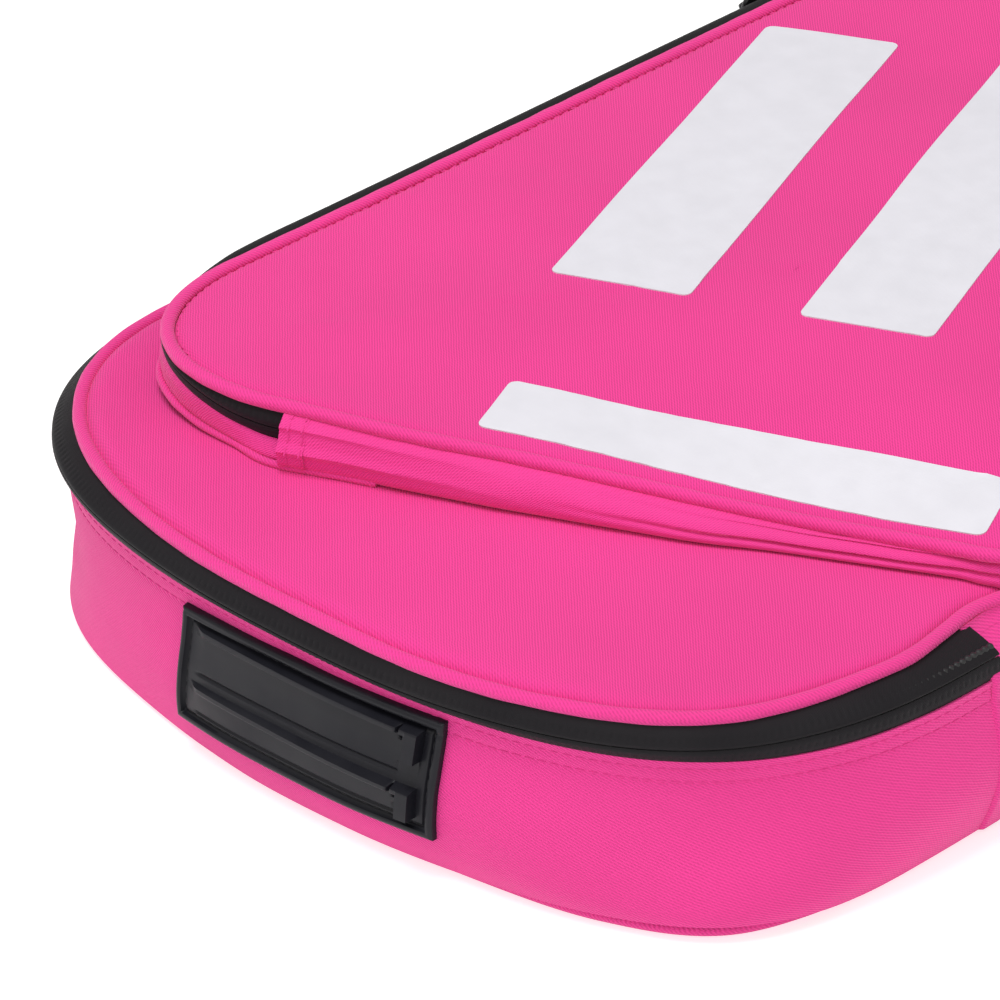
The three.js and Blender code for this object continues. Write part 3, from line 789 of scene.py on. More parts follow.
def add_base():
    zipped = MAIN.stations(1.6, ZIP_START - 2, ZIP_END - 0.3)
    z = columns(foot_height(zipped), WALL_TOP, 48, zipped)
    wall = strip("gusset_wall_fabric", MAIN, zipped, wall_out(zipped[:, None], z), z, FABRIC_THICK)
    finish(wall, FABRIC_WALL, "shell", "gusset_wall")
    turn = MAIN.total + ZIP_START
    folded = MAIN.stations(0.4, turn - 11.6, turn + 0.4)
    hinge = np.concatenate([MAIN.stations(1.6, ZIP_END, turn - 12), folded])
    z = columns(foot_height(hinge), HINGE_TOP, 54, hinge)
    out = hinge_face(hinge[:, None], z) + hinge_seam(hinge[:, None])
    hinge_wall = strip("hinge_gusset_fabric", MAIN, hinge, out, z, FABRIC_THICK)
    finish(hinge_wall, FABRIC_WALL, "shell", "hinge_gusset")
    s = MAIN.stations(1.6)
    centre = along_case(s, PIPING_PLACES, BOTTOM_PIPING_OUT)
    height = 2 + 0.15 * ripple(s, 0 * s, 60, 5)
    piping = cord("bottom_piping_cord", MAIN, s, centre, height, PIPING_RADIUS, 14, whole=True)
    finish(piping, FABRIC_PIPING, "shell", "bottom_piping")
    back = panel_mesh("back_panel_fabric", MAIN, piping_inset, level(1.2), 1.15, MAIN_SPINE, 4, 2)
    finish(back, FABRIC_PANEL, "shell", "back_panel")
    for row, height in enumerate(WALL_STITCH_ROWS):
        line = beside(MAIN, zipped, wall_out(zipped, height) + 0.1, height)
        sew(f"gusset_topstitch_{row + 1}", line, "shell")


# ---- zippers ----
def tooth_marks(s, z, row):
    """Small dents that the coil's sewing leaves in the tape, one for each tooth."""
    each = 0.5 + 0.5 * np.cos(math.tau * s / TOOTH_PITCH)
    return -0.26 * np.exp(-((z - row) / 0.8) ** 2) * each ** 3


def add_tape(name, loop, s, out, z, body, node):
    tape = strip(name, loop, s, out, z, TAPE_THICK)
    finish(tape, TAPE_BLACK, body, node)


def add_coil(name, loop, s, out, z, body, node):
    bumps = 1.0 + 0.16 * np.cos(math.tau * s / TOOTH_PITCH)
    coil = cord(name, loop, s, out, z, bumps, 8, sharp_angle=60)
    finish(coil, COIL, body, node)


def add_main_zipper():
    s = MAIN.stations(0.5, ZIP_START - 3, ZIP_END + 3)
    slit = along_case(s, SLIT_PLACES, SLIT_HEIGHT)
    lean = along_case(s, [-330, 120, 155, 215, 260, 325], [0, 0, -1.2, -1.2, 0, 0])
    long = s[:, None]
    middle = slit[:, None]
    inward = lean[:, None]
    z = columns(TAPE_LOW, slit - 0.1, 14, s)
    t = np.linspace(0, 1, 14)
    out = spline(t, [0, 0.27, 0.6, 0.86, 1], [-1.7, -0.55, 0.1, 0.2, -0.1]) + inward * t
    out = out + tooth_marks(long, z, middle - 2.1)
    add_tape("main_tape_lower", MAIN, s, out, z, "shell", "main_zip_tape_lower")
    z = columns(slit + 0.12, lid_piping_z(s) - 1.1, 22, s)
    t = np.linspace(0, 1, 22)
    edge = lid_piping_out(s)[:, None] + 0.8
    out = inward * (1 - t) + edge * t ** 1.4 + spline(t, [0, 0.08, 0.4, 1], [-0.15, 0.15, 0.35, 0])
    out = out + tooth_marks(long, z, middle + 2.3)
    out = out + 0.12 * ripple(long, 0 * z, 70, 41) * smoothstep(0.2, 0.8, t)
    add_tape("main_tape_upper", MAIN, s, out, z, "lid", "main_zip_tape_upper")
    add_coil("main_coil_lower", MAIN, s, lean - 2.3, slit - 1.4, "shell", "main_zip_coil_lower")
    add_coil("main_coil_upper", MAIN, s, lean - 2.7, slit + 1.3, "lid", "main_zip_coil_upper")


# ---- lid ----
def lid_piping_z(s):
    return along_case(s, [-330, 110, 145, 215, 260, 325], [53.5, 53.5, 54.0, 54.0, 53.5, 53.5])


def lid_lining_top(x, y):
    return LID_LINING_Z + 0.15 * ripple(x, y, 60, 54)


def lid_inset(gap):
    """The way in from the zipper line to a sheet that stays this far inside the lid's piping."""
    return lambda s: gap - lid_piping_out(s)


def add_lid():
    s = MAIN.stations(1.5)
    out = lid_piping_out(s) + 0.12 * ripple(s, 0 * s, 80, 51)
    z = lid_piping_z(s) + 0.2 * ripple(s, 0 * s, 90, 52)
    radius = PIPING_RADIUS + 0.06 * ripple(s, 0 * s, 14, 53)
    piping = cord("lid_piping_cord", MAIN, s, out, z, radius, 18, whole=True)
    finish(piping, FABRIC_PIPING, "lid", "lid_piping")
    panel = panel_mesh("lid_panel_fabric", MAIN, lid_inset(0.6), lid_top, 1.4, MAIN_SPINE)
    finish(panel, FABRIC_PANEL, "lid", "lid_panel")
    foam = panel_mesh("lid_foam_sheet", MAIN, lid_inset(2.6), level(LID_FOAM_Z), 1.6, MAIN_SPINE, 6, 4)
    finish(foam, FOAM, "lid", "lid_foam")
    lining = panel_mesh("lid_lining_cloth", MAIN, lid_inset(2.6), lid_lining_top, 0.7, MAIN_SPINE, 4, 1.5)
    finish(lining, LINING, "lid", "lid_lining")
    binding = cord("lid_binding_tape", MAIN, s, lid_piping_out(s) - 2.2, LID_LINING_Z, 1, 12, whole=True)
    finish(binding, WEBBING, "lid")


def add_hinge_fold():
    """The strip of fabric between the tall side wall and the lid, where the case bends; it is built as one
    fixed strip that rides on no body.
    """
    s = MAIN.stations(1.6, ZIP_END, MAIN.total + ZIP_START)
    z = columns(FOLD_LOW, FOLD_HIGH, 12, s)
    out = hinge_face(s[:, None], z) + 0.15 + hinge_seam(s[:, None])
    fold = strip("hinge_fold_fabric", MAIN, s, out, z, TAPE_THICK)
    fold.data.materials.append(FABRIC_WALL[0])
    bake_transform(fold)


# ---- pocket ----
ROLL_PLACES = [-230, -177, -154, -129, -105, -81, -56, -30, -5, 300, 330]
ROLL_REACH = [1.4, 1.4, 4.4, 6.4, 8.0, 8.1, 7.2, 5.0, 5.2, 1.6, 1.4]
ZIP_PLACES = [-5, 5, 14, 28, 40, 50, 65, 84, 97, 107, 126, 162]
ZIP_FLARE = [1.6, 1.6, 1.4, 1.0, 1.0, 1.5, 3.4, 6.8, 9.4, 10.2, 10.2, 10.2]
ZIP_HEIGHT = [66.0, 66.0, 66.6, 68.0, 68.7, 68.8, 67.8, 66.0, 65.2, 64.8, 64.7, 64.7]
ZIP_DROP = [3.3, 3.2, 2.7, 1.6, 1.4, 1.4, 1.5, 1.5, 1.5, 1.5, 1.5, 1.5]
HEM_OUT = [3.6, 2.6, -0.2, -1.0, -0.2, 0.8, 0.4, 1.0, 1.6, 2.0, 2.0, 2.0]
HEM_LIFT = [0.0, 0.0, 0.2, 0.8, 2.0, 3.0, 2.6, 1.6, 1.0, 0.0, 0.0, 0.0]


def zip_curve(s, values):
    return along_pocket(s, ZIP_PLACES, values)


def straight_side(s):
    """Goes from 0 to 1 where the pocket's zipper leaves the near corner for the straight left side."""
    return smoothstep(POCKET_ZIP_START + 60, POCKET_ZIP_START + 100, s)[:, None]


def lid_under(s, out):
    """Height of the lid's fabric under a line beside the pocket's outline."""
    flat = POCKET.offset(s, out)
    return lid_top(flat[..., 0], flat[..., 1])


def roll_section(s, count, lift=0.0):
    """The puffed side of the pocket, from the lid up to the piping, creased where it is squashed."""
    reach = along_pocket(s, ROLL_PLACES, ROLL_REACH)[:, None]
    foot = reach - np.minimum(2.4, 0.6 * reach)
    low = lid_under(s, reach[:, 0] - 1)[:, None] + 0.15
    high = pocket_piping_z(s)[:, None] - 0.9
    t = np.linspace(0, 1, count)[None, :]
    widest = 0.36
    below = foot + (reach - foot) * np.sin(math.pi / 2 * np.clip(t / widest, 0, 1))
    above = -0.9 + (reach + 0.9) * np.cos(math.pi / 2 * np.clip((t - widest) / (1 - widest), 0, 1)) ** 0.85
    out = np.where(t < widest, below, above)
    fold = along_pocket(s, [-200, -127, -62, 300, 330], [1, 1, 0, 0, 1])[:, None]
    creases = 1.5 * np.exp(-((t - 0.46) / 0.05) ** 2) + 1.2 * np.exp(-((t - 0.74) / 0.05) ** 2)
    out = out - fold * creases + lift * smoothstep(0.02, 0.3, t)
    out = out + 0.25 * ripple(s[:, None], 40 * t, 34, 61) * np.sin(math.pi * t)
    z = low + (high - low) * (0.5 - 0.5 * np.cos(math.pi * t))
    return out, z


def add_pocket_sides():
    s = POCKET.stations(1.4, POCKET_ZIP_END + 0.3, POCKET.total + POCKET_ZIP_START - TAB_WIDTH + 0.6)
    roll = strip("pocket_roll_fabric", POCKET, s, *roll_section(s, 34), THIN_FABRIC)
    finish(roll, FABRIC_ROLL, "lid", "pocket_gusset")
    s = np.linspace(POCKET_ZIP_START - TAB_WIDTH, POCKET_ZIP_START + 0.8, 16)
    out, z = roll_section(s, 34, 0.55)
    ridge = 0.35 * smoothstep(POCKET_ZIP_START - 2.2, POCKET_ZIP_START + 0.8, s)[:, None]
    tab = strip("pocket_zip_tab_fabric", POCKET, s, out + ridge, z, THIN_FABRIC)
    finish(tab, FABRIC_ROLL, "lid", "pocket_zip_tab")
    for index, back in enumerate((1.6, 5.2)):
        spot = POCKET_ZIP_START - back + np.array([0, 0.01])
        out, z = (values[0] for values in roll_section(spot, 34, 0.62))
        normal = POCKET.normal(spot)[:1]
        line = np.column_stack([POCKET.at(spot)[:1] + normal * out[:, None], z])
        facing = np.column_stack([normal.repeat(34, 0), 0.3 + 0 * z])
        sew(f"pocket_tab_stitches_{index + 1}", (line, facing), "lid")


def add_pocket_zipper():
    s = POCKET.stations(0.5, POCKET_ZIP_START - 3, POCKET_ZIP_END + 3)
    edge = zip_curve(s, ZIP_FLARE)
    height = zip_curve(s, ZIP_HEIGHT)
    flare = edge[:, None]
    slit = height[:, None]
    side = straight_side(s)
    ceiling = pocket_piping_z(s)[:, None] - 1.2 + 0.8 * side
    t = np.linspace(1, 0, 16)[None, :]
    out = flare * t + 0.9 * np.sin(math.pi * t) * (0.5 + 0.5 * t) - 0.4
    z = ceiling + (slit + 0.15 - ceiling) * t ** (1.15 + 3.8 * side)
    out = out + tooth_marks(s[:, None], z, slit + 2.2)
    add_tape("pocket_tape_upper", POCKET, s, out, z, "lid", "pocket_zip_tape_upper")
    t = np.linspace(1, 0, 10)[None, :]
    out = flare - 0.45 - 1.6 * t + 0.5 * np.sin(math.pi * t)
    add_tape("pocket_tape_lower", POCKET, s, out, slit - 0.15 - 3.8 * t, "lid", "pocket_zip_tape_lower")
    add_coil("pocket_coil_upper", POCKET, s, edge - 2.9, height + 0.9, "lid", "pocket_zip_coil_upper")
    add_coil("pocket_coil_lower", POCKET, s, edge - 3.3, height - 1.5, "lid", "pocket_zip_coil_lower")


def add_pocket_hem():
    """The gathered strip under the pocket's zipper and the folded edge that sews it to the lid."""
    s = POCKET.stations(1.2, POCKET_ZIP_START - 2, POCKET_ZIP_END + 1)
    foot = zip_curve(s, HEM_OUT)
    low = lid_under(s, foot)[:, None] + 0.3 + zip_curve(s, HEM_LIFT)[:, None]
    t = np.linspace(1, 0, 20)[None, :]
    top = zip_curve(s, ZIP_FLARE)[:, None] - 1.2
    puff = 1.1 - 0.9 * straight_side(s)
    out = top + (foot[:, None] - top) * t + puff * np.sin(math.pi * t) ** 1.2
    out = out + 0.35 * ripple(s[:, None], 30 * t, 26, 71) * np.sin(math.pi * t)
    high = (zip_curve(s, ZIP_HEIGHT) - zip_curve(s, ZIP_DROP))[:, None]
    hem = strip("pocket_hem_strip", POCKET, s, out, high + (low - high) * t, 0.8)
    finish(hem, FABRIC_ROLL, "lid", "pocket_hem")
    s = POCKET.stations(1.2, POCKET_ZIP_START - 24, POCKET_ZIP_END)
    tucked = along_pocket(s, ROLL_PLACES, ROLL_REACH) - 1.2
    share = smoothstep(POCKET_ZIP_START - 6, POCKET_ZIP_START + 3, s)
    out = tucked + (zip_curve(s, HEM_OUT) + 1.0 - tucked) * share
    centre = lid_under(s, out) + 0.75 + zip_curve(s, HEM_LIFT)
    radius = 0.95 + 0.06 * ripple(s, 0 * s, 12, 72)
    finish(cord("pocket_hem_fold", POCKET, s, out, centre, radius, 12), FABRIC_PIPING, "lid")


def add_pocket_front():
    s = POCKET.stations(1.4)
    radius = PIPING_RADIUS + 0.05 * ripple(s, 0 * s, 13, 81)
    out = -0.3 + 0.12 * ripple(s, 0 * s, 60, 82)
    piping = cord("pocket_piping_cord", POCKET, s, out, pocket_piping_z(s), radius, 18, whole=True)
    finish(piping, FABRIC_PIPING, "lid", "pocket_piping")
    panel = panel_mesh("pocket_panel_fabric", POCKET, 1.0, pocket_top, 1.1, POCKET_SPINE)
    finish(panel, FABRIC_PANEL, "lid", "pocket_panel")
    for name, drop, thick, look, node in (
        ("pocket_foam_sheet", 1.5, FOAM_THICK, FOAM, "pocket_foam"),
        ("pocket_lining_cloth", 3.6, LINING_THICK, LINING, "pocket_lining"),
    ):
        sheet = panel_mesh(name, POCKET, 6, lambda x, y: pocket_top(x, y) - drop, thick, POCKET_SPINE, 6, 4)
        finish(sheet, look, "lid", node)
    s = POCKET.stations(0.8)
    seam = POCKET.offset(s, -2.7 + 0 * s)
    points = np.column_stack([seam, pocket_top(seam[:, 0], seam[:, 1]) + 0.05])
    facing = np.column_stack([0 * s, 0 * s, 1 + 0 * s])
    sew("pocket_seam_stitches", (points, facing), "lid", radius=0.22)


def add_print():
    """Four generic bars of transfer film that follow the pocket's crown."""
    cos = math.cos(PRINT_SLANT)
    sin = math.sin(PRINT_SLANT)
    turn = np.array([[cos, sin], [-sin, cos]])
    corner = PRINT_CORNER
    for index, (left, right, low, high) in enumerate(PRINT_BARS):
        rounded = corner * (1 - np.cos(np.linspace(0, math.pi / 2, 6)))
        inner = np.arange(low + corner, high - corner, 2.5)
        v = np.concatenate([low + rounded, inner[1:], high - rounded[::-1]])
        depth = np.clip(corner - np.minimum(v - low, high - v), 0, corner)
        pulled = corner - np.sqrt(np.clip(corner ** 2 - depth ** 2, 0, None))
        count = max(8, round((right - left) / 2.5))
        share = np.linspace(0, 1, count)[None, :]
        start = (left + pulled + PRINT_LEAN * (v - low))[:, None]
        stop = (right - pulled + PRINT_LEAN * (v - low))[:, None]
        u = start + (stop - start) * share
        flat = np.stack([u, v[:, None] + 0 * u], -1) @ turn
        height = pocket_top(flat[..., 0], flat[..., 1])
        upper = np.concatenate([flat, height[..., None] + PRINT_LIFT], -1)
        lower = np.concatenate([flat, height[..., None] - 0.2], -1)
        points = np.concatenate([upper, lower[:, ::-1]], 1)
        across = section_lengths(points[len(points) // 2])
        bar = grid_mesh(f"print_bar_film_{index + 1}", points, v, across, False, True, True, 50)
        finish(bar, FILM, "lid", f"print_bar_{index + 1}")


# ---- rubber foot patch ----
PATCH_RIBS = ((26.7, 14.8), (12.3, 4.5))


def patch_edge(a, b):
    """Distance in from the patch's nearest edge."""
    return np.minimum(np.minimum(a, PATCH_LENGTH - a), np.minimum(b, PATCH_HEIGHT - b))


def patch_rise(a, b):
    """Height of the patch above the wall: a runs along it from the left, b up from its lower edge."""
    edge = patch_edge(a, b)
    rim = 1.5 * np.sqrt(np.clip(1 - ((edge - 1.3) / 1.3) ** 2, 0, 1))
    rise = np.where(edge < 2.2, 0.9 + rim, 1.25)
    rise = rise - 0.75 * np.exp(-((edge - 2.9) / 0.4) ** 2)
    along = smoothstep(4, 9, a) * (a < 79.5)
    for top, groove in PATCH_RIBS:
        reach = 1.5 + 2.0 * np.clip((a - 4) / 76, 0, 1)
        below = top - b
        depth = top - groove
        face = 0.42 * np.clip(1 - below / depth, 0, 1) + 0.58 * smoothstep(2.7, 1.6, below)
        rib = reach * smoothstep(0, 0.5, below) * face * (below < depth)
        block = reach * smoothstep(0, 0.6, below) * (below < 7.8) * (a > 75.6)
        cut = 1 - 0.8 * np.exp(-((a - 73.4) / 0.35) ** 2) * ((below < 4) | (below > depth - 2.4))
        rise = rise + along * np.maximum(rib * cut, block)
        line = np.exp(-((b - groove + 0.3) / 0.35) ** 2) * smoothstep(6, 8, a) * (a < 73.4)
        rise = rise - 0.5 * line
    return np.where(edge < 0.01, 0.3, rise)


def patch_place(a, b):
    """Distance along the zipper line and height of a point on the patch."""
    return NEAR_MIDDLE - PATCH_CENTRE_X + PATCH_LENGTH / 2 - a, PATCH_LOW + PATCH_TILT * a / PATCH_LENGTH + b


def crossing_lines(corners, count):
    """Points along the straight lines from each corner to the next."""
    return np.vstack([np.linspace(p, q, count)[:-1] for p, q in zip(corners, corners[1:])])


def add_foot_patch():
    fine = np.arange(0, 3.6, 0.3)
    a = np.unique(np.concatenate([np.arange(0, PATCH_LENGTH + 0.01, 0.7), np.arange(72.6, 80.2, 0.25), fine,
                                  np.arange(PATCH_LENGTH - 3.5, PATCH_LENGTH + 0.01, 0.3)]))
    b = np.arange(0, PATCH_HEIGHT + 0.01, 0.25)
    s, z = patch_place(a[:, None], b[None, :])
    wall = wall_out(s, z)
    out = np.hstack([wall + patch_rise(a[:, None], b[None, :]), (wall[:, ::6] - 0.6)[:, ::-1]])
    z = np.hstack([z, z[:, ::6][:, ::-1]])
    flat = MAIN.at(s) + MAIN.normal(s) * out[:, :, None]
    points = np.concatenate([flat, z[:, :, None]], -1)
    patch = closed_tube("foot_patch_rubber", points, a, section_lengths(np.stack([out[9], z[9]], -1)))
    finish(patch, RUBBER_BLACK, "shell", "foot_patch")
    low = PATCH_STITCH_INSET
    right = PATCH_LENGTH - low
    high = PATCH_HEIGHT - low
    line = crossing_lines([(low, low), (right, low), (right, high), (low, high), (low, low)], 60)
    s, z = patch_place(line[:, 0], line[:, 1])
    seam = stitch_line("foot_patch_stitches", beside(MAIN, s, wall_out(s, z) + 0.62, z), radius=0.24)
    finish(seam, DARK_THREAD, "shell")


def closed_tube(name, points, u, v):
    """A tube of closed sections whose two ends are filled."""
    thing = grid_mesh(name, points, u, v, closed_v=True, sharp_angle=None)
    with edited_mesh(thing, 35) as work:
        bmesh.ops.holes_fill(work, edges=[edge for edge in work.edges if edge.is_boundary])
        bmesh.ops.triangulate(work, faces=[face for face in work.faces if len(face.verts) > 4])
        bmesh.ops.recalc_face_normals(work, faces=work.faces)
        for face in work.faces:
            face.smooth = True
    return thing


# ---- padding and linings inside ----
def back_lining_top(x, y):
    return 6.3 + 0.25 * ripple(x, y, 50, 92)


def add_inside():
    s = MAIN.stations(2.5)
    long = s[:, None]
    z = columns(LINING_LOW, LINING_HIGH, 14, s)
    out = wall_out(long, z) - 4.9 + 0.25 * ripple(long, z, 30, 91)
    lining = strip("gusset_lining_cloth", MAIN, s, out, z, LINING_THICK, whole=True)
    finish(lining, LINING, "shell", "gusset_lining")
    z = columns(7, 42, 6, s)
    foam = strip("gusset_foam_sheet", MAIN, s, wall_out(long, z) - 1.6, z, 2.8, whole=True)
    finish(foam, FOAM, "shell", "gusset_foam")
    angle = math.tau * np.arange(14) / 14
    out = wall_out(long, 42) - 3.4 + 2.2 * np.cos(angle)
    binding = sweep("inner_binding_tape", MAIN, s, out, 42 + 1.2 * np.sin(angle) + 0 * long, whole=True)
    finish(binding, WEBBING, "shell")
    foam = panel_mesh("back_foam_sheet", MAIN, padding_inset, level(5.4), 3.9, MAIN_SPINE, 6, 4)
    finish(foam, FOAM, "shell", "back_foam")
    lining = panel_mesh("back_lining_cloth", MAIN, padding_inset, back_lining_top, 0.6, MAIN_SPINE, 4, 2)
    finish(lining, LINING, "shell", "back_lining")


# ---- webbing ----
def band(name, route, facing, width_way, width, thickness, node):
    """A flat strap along a route: facing is its outward direction, width_way the direction across it."""
    across = np.array([-1, -0.985, -0.9, -0.5, 0, 0.5, 0.9, 0.985, 1]) * width / 2
    lift = np.array([0.45, 0.85, 1, 0.97, 0.96, 0.97, 1, 0.85, 0.45]) * thickness / 2
    flat = route[:, None, :] + np.array(width_way) * across[None, :, None]
    rise = facing[:, None, :] * lift[None, :, None]
    points = np.concatenate([flat + rise, (flat - rise)[:, ::-1]], 1)
    section = np.concatenate([across, across[::-1]])[:, None]
    strap = grid_mesh(name, points, distances_along(route), section_lengths(section), False, True, True, 60)
    finish(strap, WEBBING, "shell", node)


def smooth_route(points, count):
    points = np.array(points, float)
    steps = np.sqrt(np.linalg.norm(np.diff(points, axis=0), axis=1))
    knots = np.concatenate([[0], np.cumsum(steps)])
    at = np.linspace(0, knots[-1], count)
    return np.stack([spline(at, knots, points[:, k]) for k in range(points.shape[1])], -1)


def add_anchor(side, direction):
    """The fabric square that sews one end of the handle to the wall."""
    half = ANCHOR_HALF_HEIGHT
    a = np.linspace(HANDLE_HALF_SPAN + 3, HANDLE_HALF_SPAN + HANDLE_FOOT + 3, 20)
    s = FAR_MIDDLE + direction * a
    z = columns(WALL_MIDDLE - half, WALL_MIDDLE + half, 24, s)
    in_from_top = half - np.abs(z - WALL_MIDDLE)
    edge = np.minimum(np.minimum(a - a[0], a[-1] - a)[:, None], in_from_top)
    hump = 1.4 * smoothstep(0, 2.2, in_from_top - 1.3)
    out = HANDLE_ON_WALL - 0.2 + hump + 0.5 * smoothstep(0, 1.5, edge)
    anchor = strip(f"handle_anchor_fabric_{side}", MAIN, s, out, z, THIN_FABRIC)
    finish(anchor, FABRIC_WALL, "shell", f"handle_anchor_{side}")
    left, right, high = a[0] + 2.5, a[-1] - 2.5, 11
    box = [(left, -high), (right, -high), (right, high), (left, high), (left, -high)]
    line = crossing_lines(box + [(right, high), (right, -high), (left, high)], 30)
    place = FAR_MIDDLE + direction * line[:, 0]
    curve = beside(MAIN, place, HANDLE_ON_WALL + 1.75 + 0 * place, WALL_MIDDLE + line[:, 1])
    sew(f"handle_stitches_{side}", curve, "shell")


def add_handle():
    def foot(distance):
        return MAIN.offset(np.array([FAR_MIDDLE + distance]), np.array([HANDLE_ON_WALL]))[0]

    top = foot(0)[1] + HANDLE_REACH - 2
    ends = [HANDLE_HALF_SPAN + HANDLE_FOOT, HANDLE_HALF_SPAN + HANDLE_FOOT / 2, HANDLE_HALF_SPAN]
    arch = [(-32, top - 7), (-14, top - 0.5), (14, top - 0.5), (32, top - 7)]
    flat = smooth_route([foot(-d) for d in ends] + arch + [foot(d) for d in reversed(ends)], 90)
    way = unit(np.gradient(flat, axis=0))
    route = np.column_stack([flat, WALL_MIDDLE + 0 * flat[:, 0]])
    facing = np.column_stack([-way[:, 1], way[:, 0], 0 * way[:, 0]])
    band("grab_handle_webbing", route, facing, (0, 0, 1), HANDLE_WIDTH, WEBBING_THICK, "grab_handle")
    for side, direction in (("left", -1), ("right", 1)):
        add_anchor(side, direction)


def add_keeper():
    half = KEEPER_SPAN / 2
    angle = np.linspace(0, math.pi, 60)
    x = np.concatenate([[half + 10, half + 4], half * np.cos(angle), [-half - 4, -half - 10]])
    z = np.concatenate([[0.75, 0.75], 0.75 + (KEEPER_RISE - 1.5) * np.sin(angle), [0.75, 0.75]])
    route = np.column_stack([x, KEEPER_Y + 0 * x, KEEPER_FLOOR + z])
    way = unit(np.gradient(route, axis=0))
    facing = np.column_stack([-way[:, 2], 0 * x, way[:, 0]])
    band("keeper_elastic", route, facing, (0, 1, 0), KEEPER_WIDTH, ELASTIC_THICK, "keeper_strap")


# ---- sliders and pullers; outwards is -X ----
def prism(outline, low, high, chamfer):
    """Vertices and faces of a flat plate with chamfered rims: outline in its plane, low to high across."""
    centre = outline.mean(0)
    shrink = 1 - chamfer / np.linalg.norm(outline - centre, axis=1).mean()
    small = centre + (outline - centre) * shrink
    rings = [(small, low), (outline, low + chamfer), (outline, high - chamfer), (small, high)]
    vertices = [(u, v, w) for ring, w in rings for u, v in ring]
    return np.array(vertices, float), ring_faces(len(rings), len(outline))


def superellipse(half_a, half_b, power, count=28):
    angle = math.tau * np.arange(count) / count
    cos = np.cos(angle)
    sin = np.sin(angle)
    return np.stack([half_a * np.sign(cos) * np.abs(cos) ** (2 / power),
                     half_b * np.sign(sin) * np.abs(sin) ** (2 / power)], -1)


def tube(path, radius, sides=10):
    """Vertices and faces of a round bar along a path."""
    path = np.array(path, float)
    way = unit(np.gradient(path, axis=0))
    side = unit(np.cross(way, [0.3, 0.5, 0.81]))
    other = np.cross(way, side)
    angle = math.tau * np.arange(sides) / sides
    rings = path[:, None, :] + radius * (np.cos(angle)[None, :, None] * side[:, None, :]
                                         + np.sin(angle)[None, :, None] * other[:, None, :])
    return rings.reshape(-1, 3), ring_faces(len(path), sides)


def assembled(name, parts, place):
    """One object from several closed bodies."""
    vertices = []
    faces = []
    for points, polygons in parts:
        start = len(vertices)
        vertices += (points + place).tolist()
        faces += [tuple(start + k for k in polygon) for polygon in polygons]
    thing = mesh_object(name, vertices, faces, None, None)
    with edited_mesh(thing, 35) as work:
        bmesh.ops.recalc_face_normals(work, faces=work.faces)
    return thing


def from_plane(body):
    """Turns a plate's (along, up, outward) into (x, y, z) with outwards along -X."""
    points, faces = body
    return np.column_stack([-points[:, 2], points[:, 0], points[:, 1]]), faces


def slider_piece(name, node, body, place):
    half_arch = [(1.5, 3.8), (3.2, 3.7), (4.2, 3.0), (4.5, 1.5)]
    path = [(-out, -along, 0) for out, along in half_arch] + [(-4.5, 0, 0)]
    path += [(-out, along, 0) for out, along in reversed(half_arch)]
    parts = [
        from_plane(prism(superellipse(6, 4.6, 3.2), 0.45, 1.8, 0.4)),
        from_plane(prism(superellipse(1.4, 0.3, 4, 12), -4.9, 0.6, 0.05)),
        from_plane(prism(superellipse(5.4, 3.4, 3.2), -5.4, -4.45, 0.3)),
        tube(path, 0.75),
    ]
    finish(assembled(name, parts, place), METAL, body, node)


def puller_piece(name, node, body, place, direction):
    arms = [[(0, direction * y, side * 2.4) for y in (-0.1, 3, 6, 9)] for side in (-1, 1)]
    bar = [(0, 0, z) for z in (-2.9, -1, 1, 2.9)]
    tab_outline = superellipse((PULLER_LENGTH - 7.4) / 2, 4, 4)
    middle = direction * (PULLER_LENGTH + 7.4) / 2
    plate, plate_faces = from_plane(prism(tab_outline, -0.75, 0.75, 0.3))
    parts = [tube(arm, 0.6) for arm in arms] + [tube(bar, 0.6)]
    parts.append((plate + np.array([0, middle, 0]), plate_faces))
    for ridge in range(5):
        along = direction * (PULLER_LENGTH - 3 - 2.2 * ridge)
        parts.append(tube([(-0.7, along, z) for z in (-2.6, 0, 2.6)], 0.35, 8))
    finish(assembled(name, parts, place), METAL, body, node)


def slider_centre(node):
    low, high = (np.array(corner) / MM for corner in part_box(node))
    return (low + high) / 2 - ORIGIN


def add_sliders():
    for key, body, line, direction in (
        ("main_slider_near", "near", HALF_WIDTH, -1),
        ("main_slider_far", "far", HALF_WIDTH, 1),
        ("pocket_slider", "pocket", -POCKET_SLIDER_X, 1),
    ):
        centre = slider_centre(key)
        place = np.array([-line, centre[1], centre[2]])
        slider_piece(f"{key}_body", key, f"{body}_slider", place)
        puller = key.replace("slider", "puller")
        pivot = place - np.array([PULLER_AXIS_OUT, 0, 0])
        puller_piece(f"{puller}_tab", puller, f"{body}_puller", pivot, direction)


for add_pieces in (add_base, add_main_zipper, add_lid, add_hinge_fold, add_pocket_sides, add_pocket_zipper,
                   add_pocket_hem, add_pocket_front, add_print, add_foot_patch, add_inside, add_handle,
                   add_keeper, add_sliders):
    add_pieces()


# ---- floor, light and camera; metres ----
FLOOR_REACH = 4.0
FLOOR_COLOUR = (0.55, 0.55, 0.55)
FLOOR_GLOW = 0.66
SOFTBOX_PLACE = (-0.15, -0.6, 2.2)
SOFTBOX_SIZE = 1.0
SOFTBOX_POWER = 32
SOFTBOX_COLOUR = (0.96, 0.97, 1.0)
WORLD_COLOUR = (1, 0.97, 0.92, 1)
WORLD_DARK = 0.25
WORLD_BRIGHT = 0.92
CAMERA_TARGET = Vector(to_frame((-61.25, -87.13, 0)))
CAMERA_ELEVATION = math.radians(30.13)
CAMERA_HEADING = Vector((-0.6887, 0.7250, 0)).normalized()
CAMERA_DISTANCE = 2.0208
CAMERA_ROLL = math.radians(0.14)
CAMERA_LENS = 288
CAMERA_SENSOR = 36


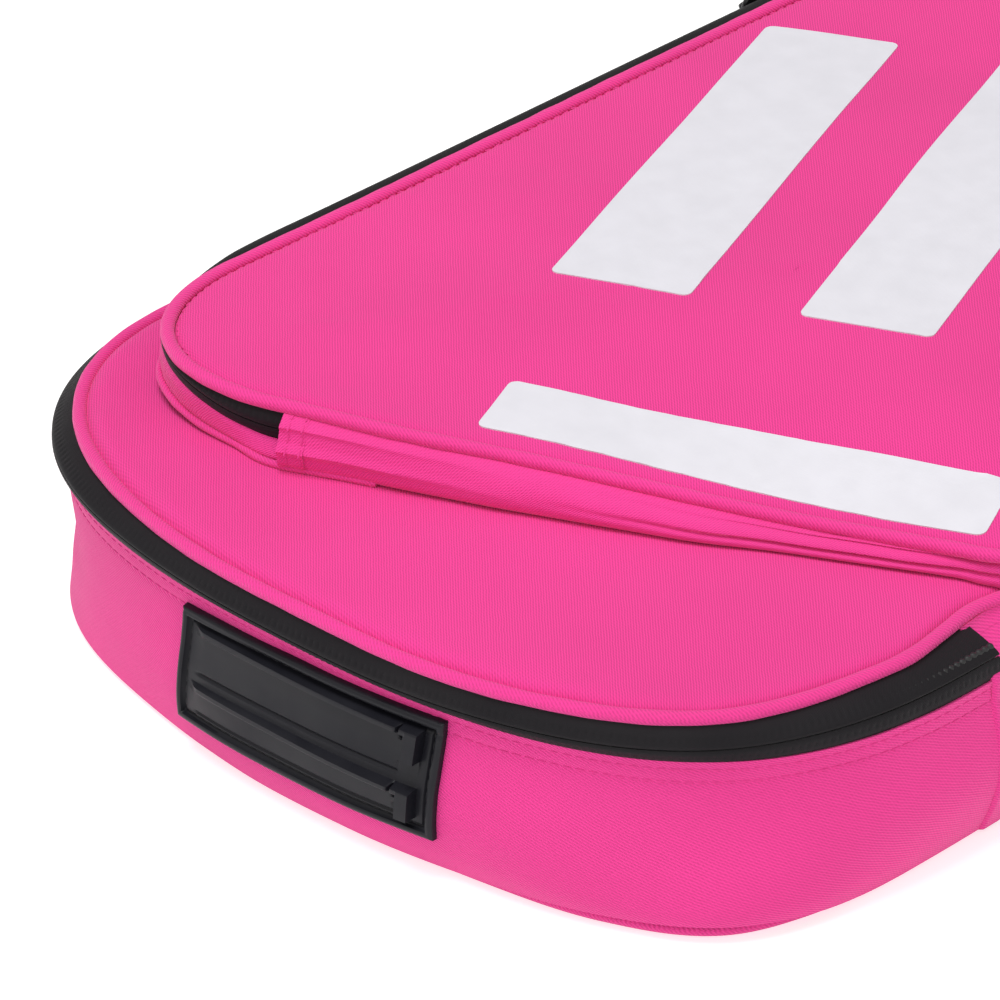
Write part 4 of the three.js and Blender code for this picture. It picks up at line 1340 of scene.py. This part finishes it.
def add_floor():
    mesh = bpy.data.meshes.new("floor")
    corners = [(x * FLOOR_REACH, y * FLOOR_REACH, 0) for x, y in ((-1, -1), (1, -1), (1, 1), (-1, 1))]
    mesh.from_pydata(corners, [], [(0, 1, 2, 3)])
    floor = bpy.data.objects.new("floor", mesh)
    bpy.context.scene.collection.objects.link(floor)
    graph = Graph("pale_floor", FLOOR_COLOUR, 0.9, Emission_Strength=FLOOR_GLOW)
    graph.shader.inputs["Emission Color"].default_value = (1, 1, 1, 1)
    mesh.materials.append(graph.material)


def add_camera():
    data = bpy.data.cameras.new("camera")
    data.sensor_width = CAMERA_SENSOR
    data.lens = CAMERA_LENS
    data.clip_start = 0.05
    data.clip_end = 20
    camera = bpy.data.objects.new("camera", data)
    bpy.context.scene.collection.objects.link(camera)
    look = CAMERA_HEADING * math.cos(CAMERA_ELEVATION) - Vector((0, 0, math.sin(CAMERA_ELEVATION)))
    place = CAMERA_TARGET - look * CAMERA_DISTANCE
    turn = look.to_track_quat("-Z", "Y").to_matrix().to_4x4() @ Matrix.Rotation(CAMERA_ROLL, 4, "Z")
    camera.matrix_world = Matrix.Translation(place) @ turn
    bpy.context.scene.camera = camera


def add_softbox():
    data = bpy.data.lights.new("key_softbox", "AREA")
    data.shape = "SQUARE"
    data.size = SOFTBOX_SIZE
    data.energy = SOFTBOX_POWER
    data.color = SOFTBOX_COLOUR
    light = bpy.data.objects.new("key_softbox", data)
    bpy.context.scene.collection.objects.link(light)
    light.location = SOFTBOX_PLACE
    light.rotation_euler = (CAMERA_TARGET - Vector(SOFTBOX_PLACE)).to_track_quat("-Z", "Y").to_euler()


def add_world():
    """Even studio light that falls off behind the case, so that black parts keep their form."""
    world = bpy.data.worlds.new("studio")
    world.use_nodes = True
    nodes = Nodes(world.node_tree)
    direction = nodes.node("ShaderNodeTexCoord").outputs["Generated"]
    towards = (-CAMERA_HEADING.x, -CAMERA_HEADING.y, 0.35)
    dot = nodes.node("ShaderNodeVectorMath", {0: direction, 1: towards}, operation="DOT_PRODUCT")
    limits = {"From Min": -0.7, "From Max": 0.6, "To Min": WORLD_DARK, "To Max": WORLD_BRIGHT}
    ramp = nodes.node("ShaderNodeMapRange", {"Value": dot.outputs["Value"], **limits})
    background = nodes.tree.nodes["Background"]
    nodes.tree.links.new(ramp.outputs[0], background.inputs["Strength"])
    background.inputs["Color"].default_value = WORLD_COLOUR
    bpy.context.scene.world = world


add_floor()
add_camera()
add_world()
add_softbox()
bpy.context.scene.view_settings.view_transform = "Standard"
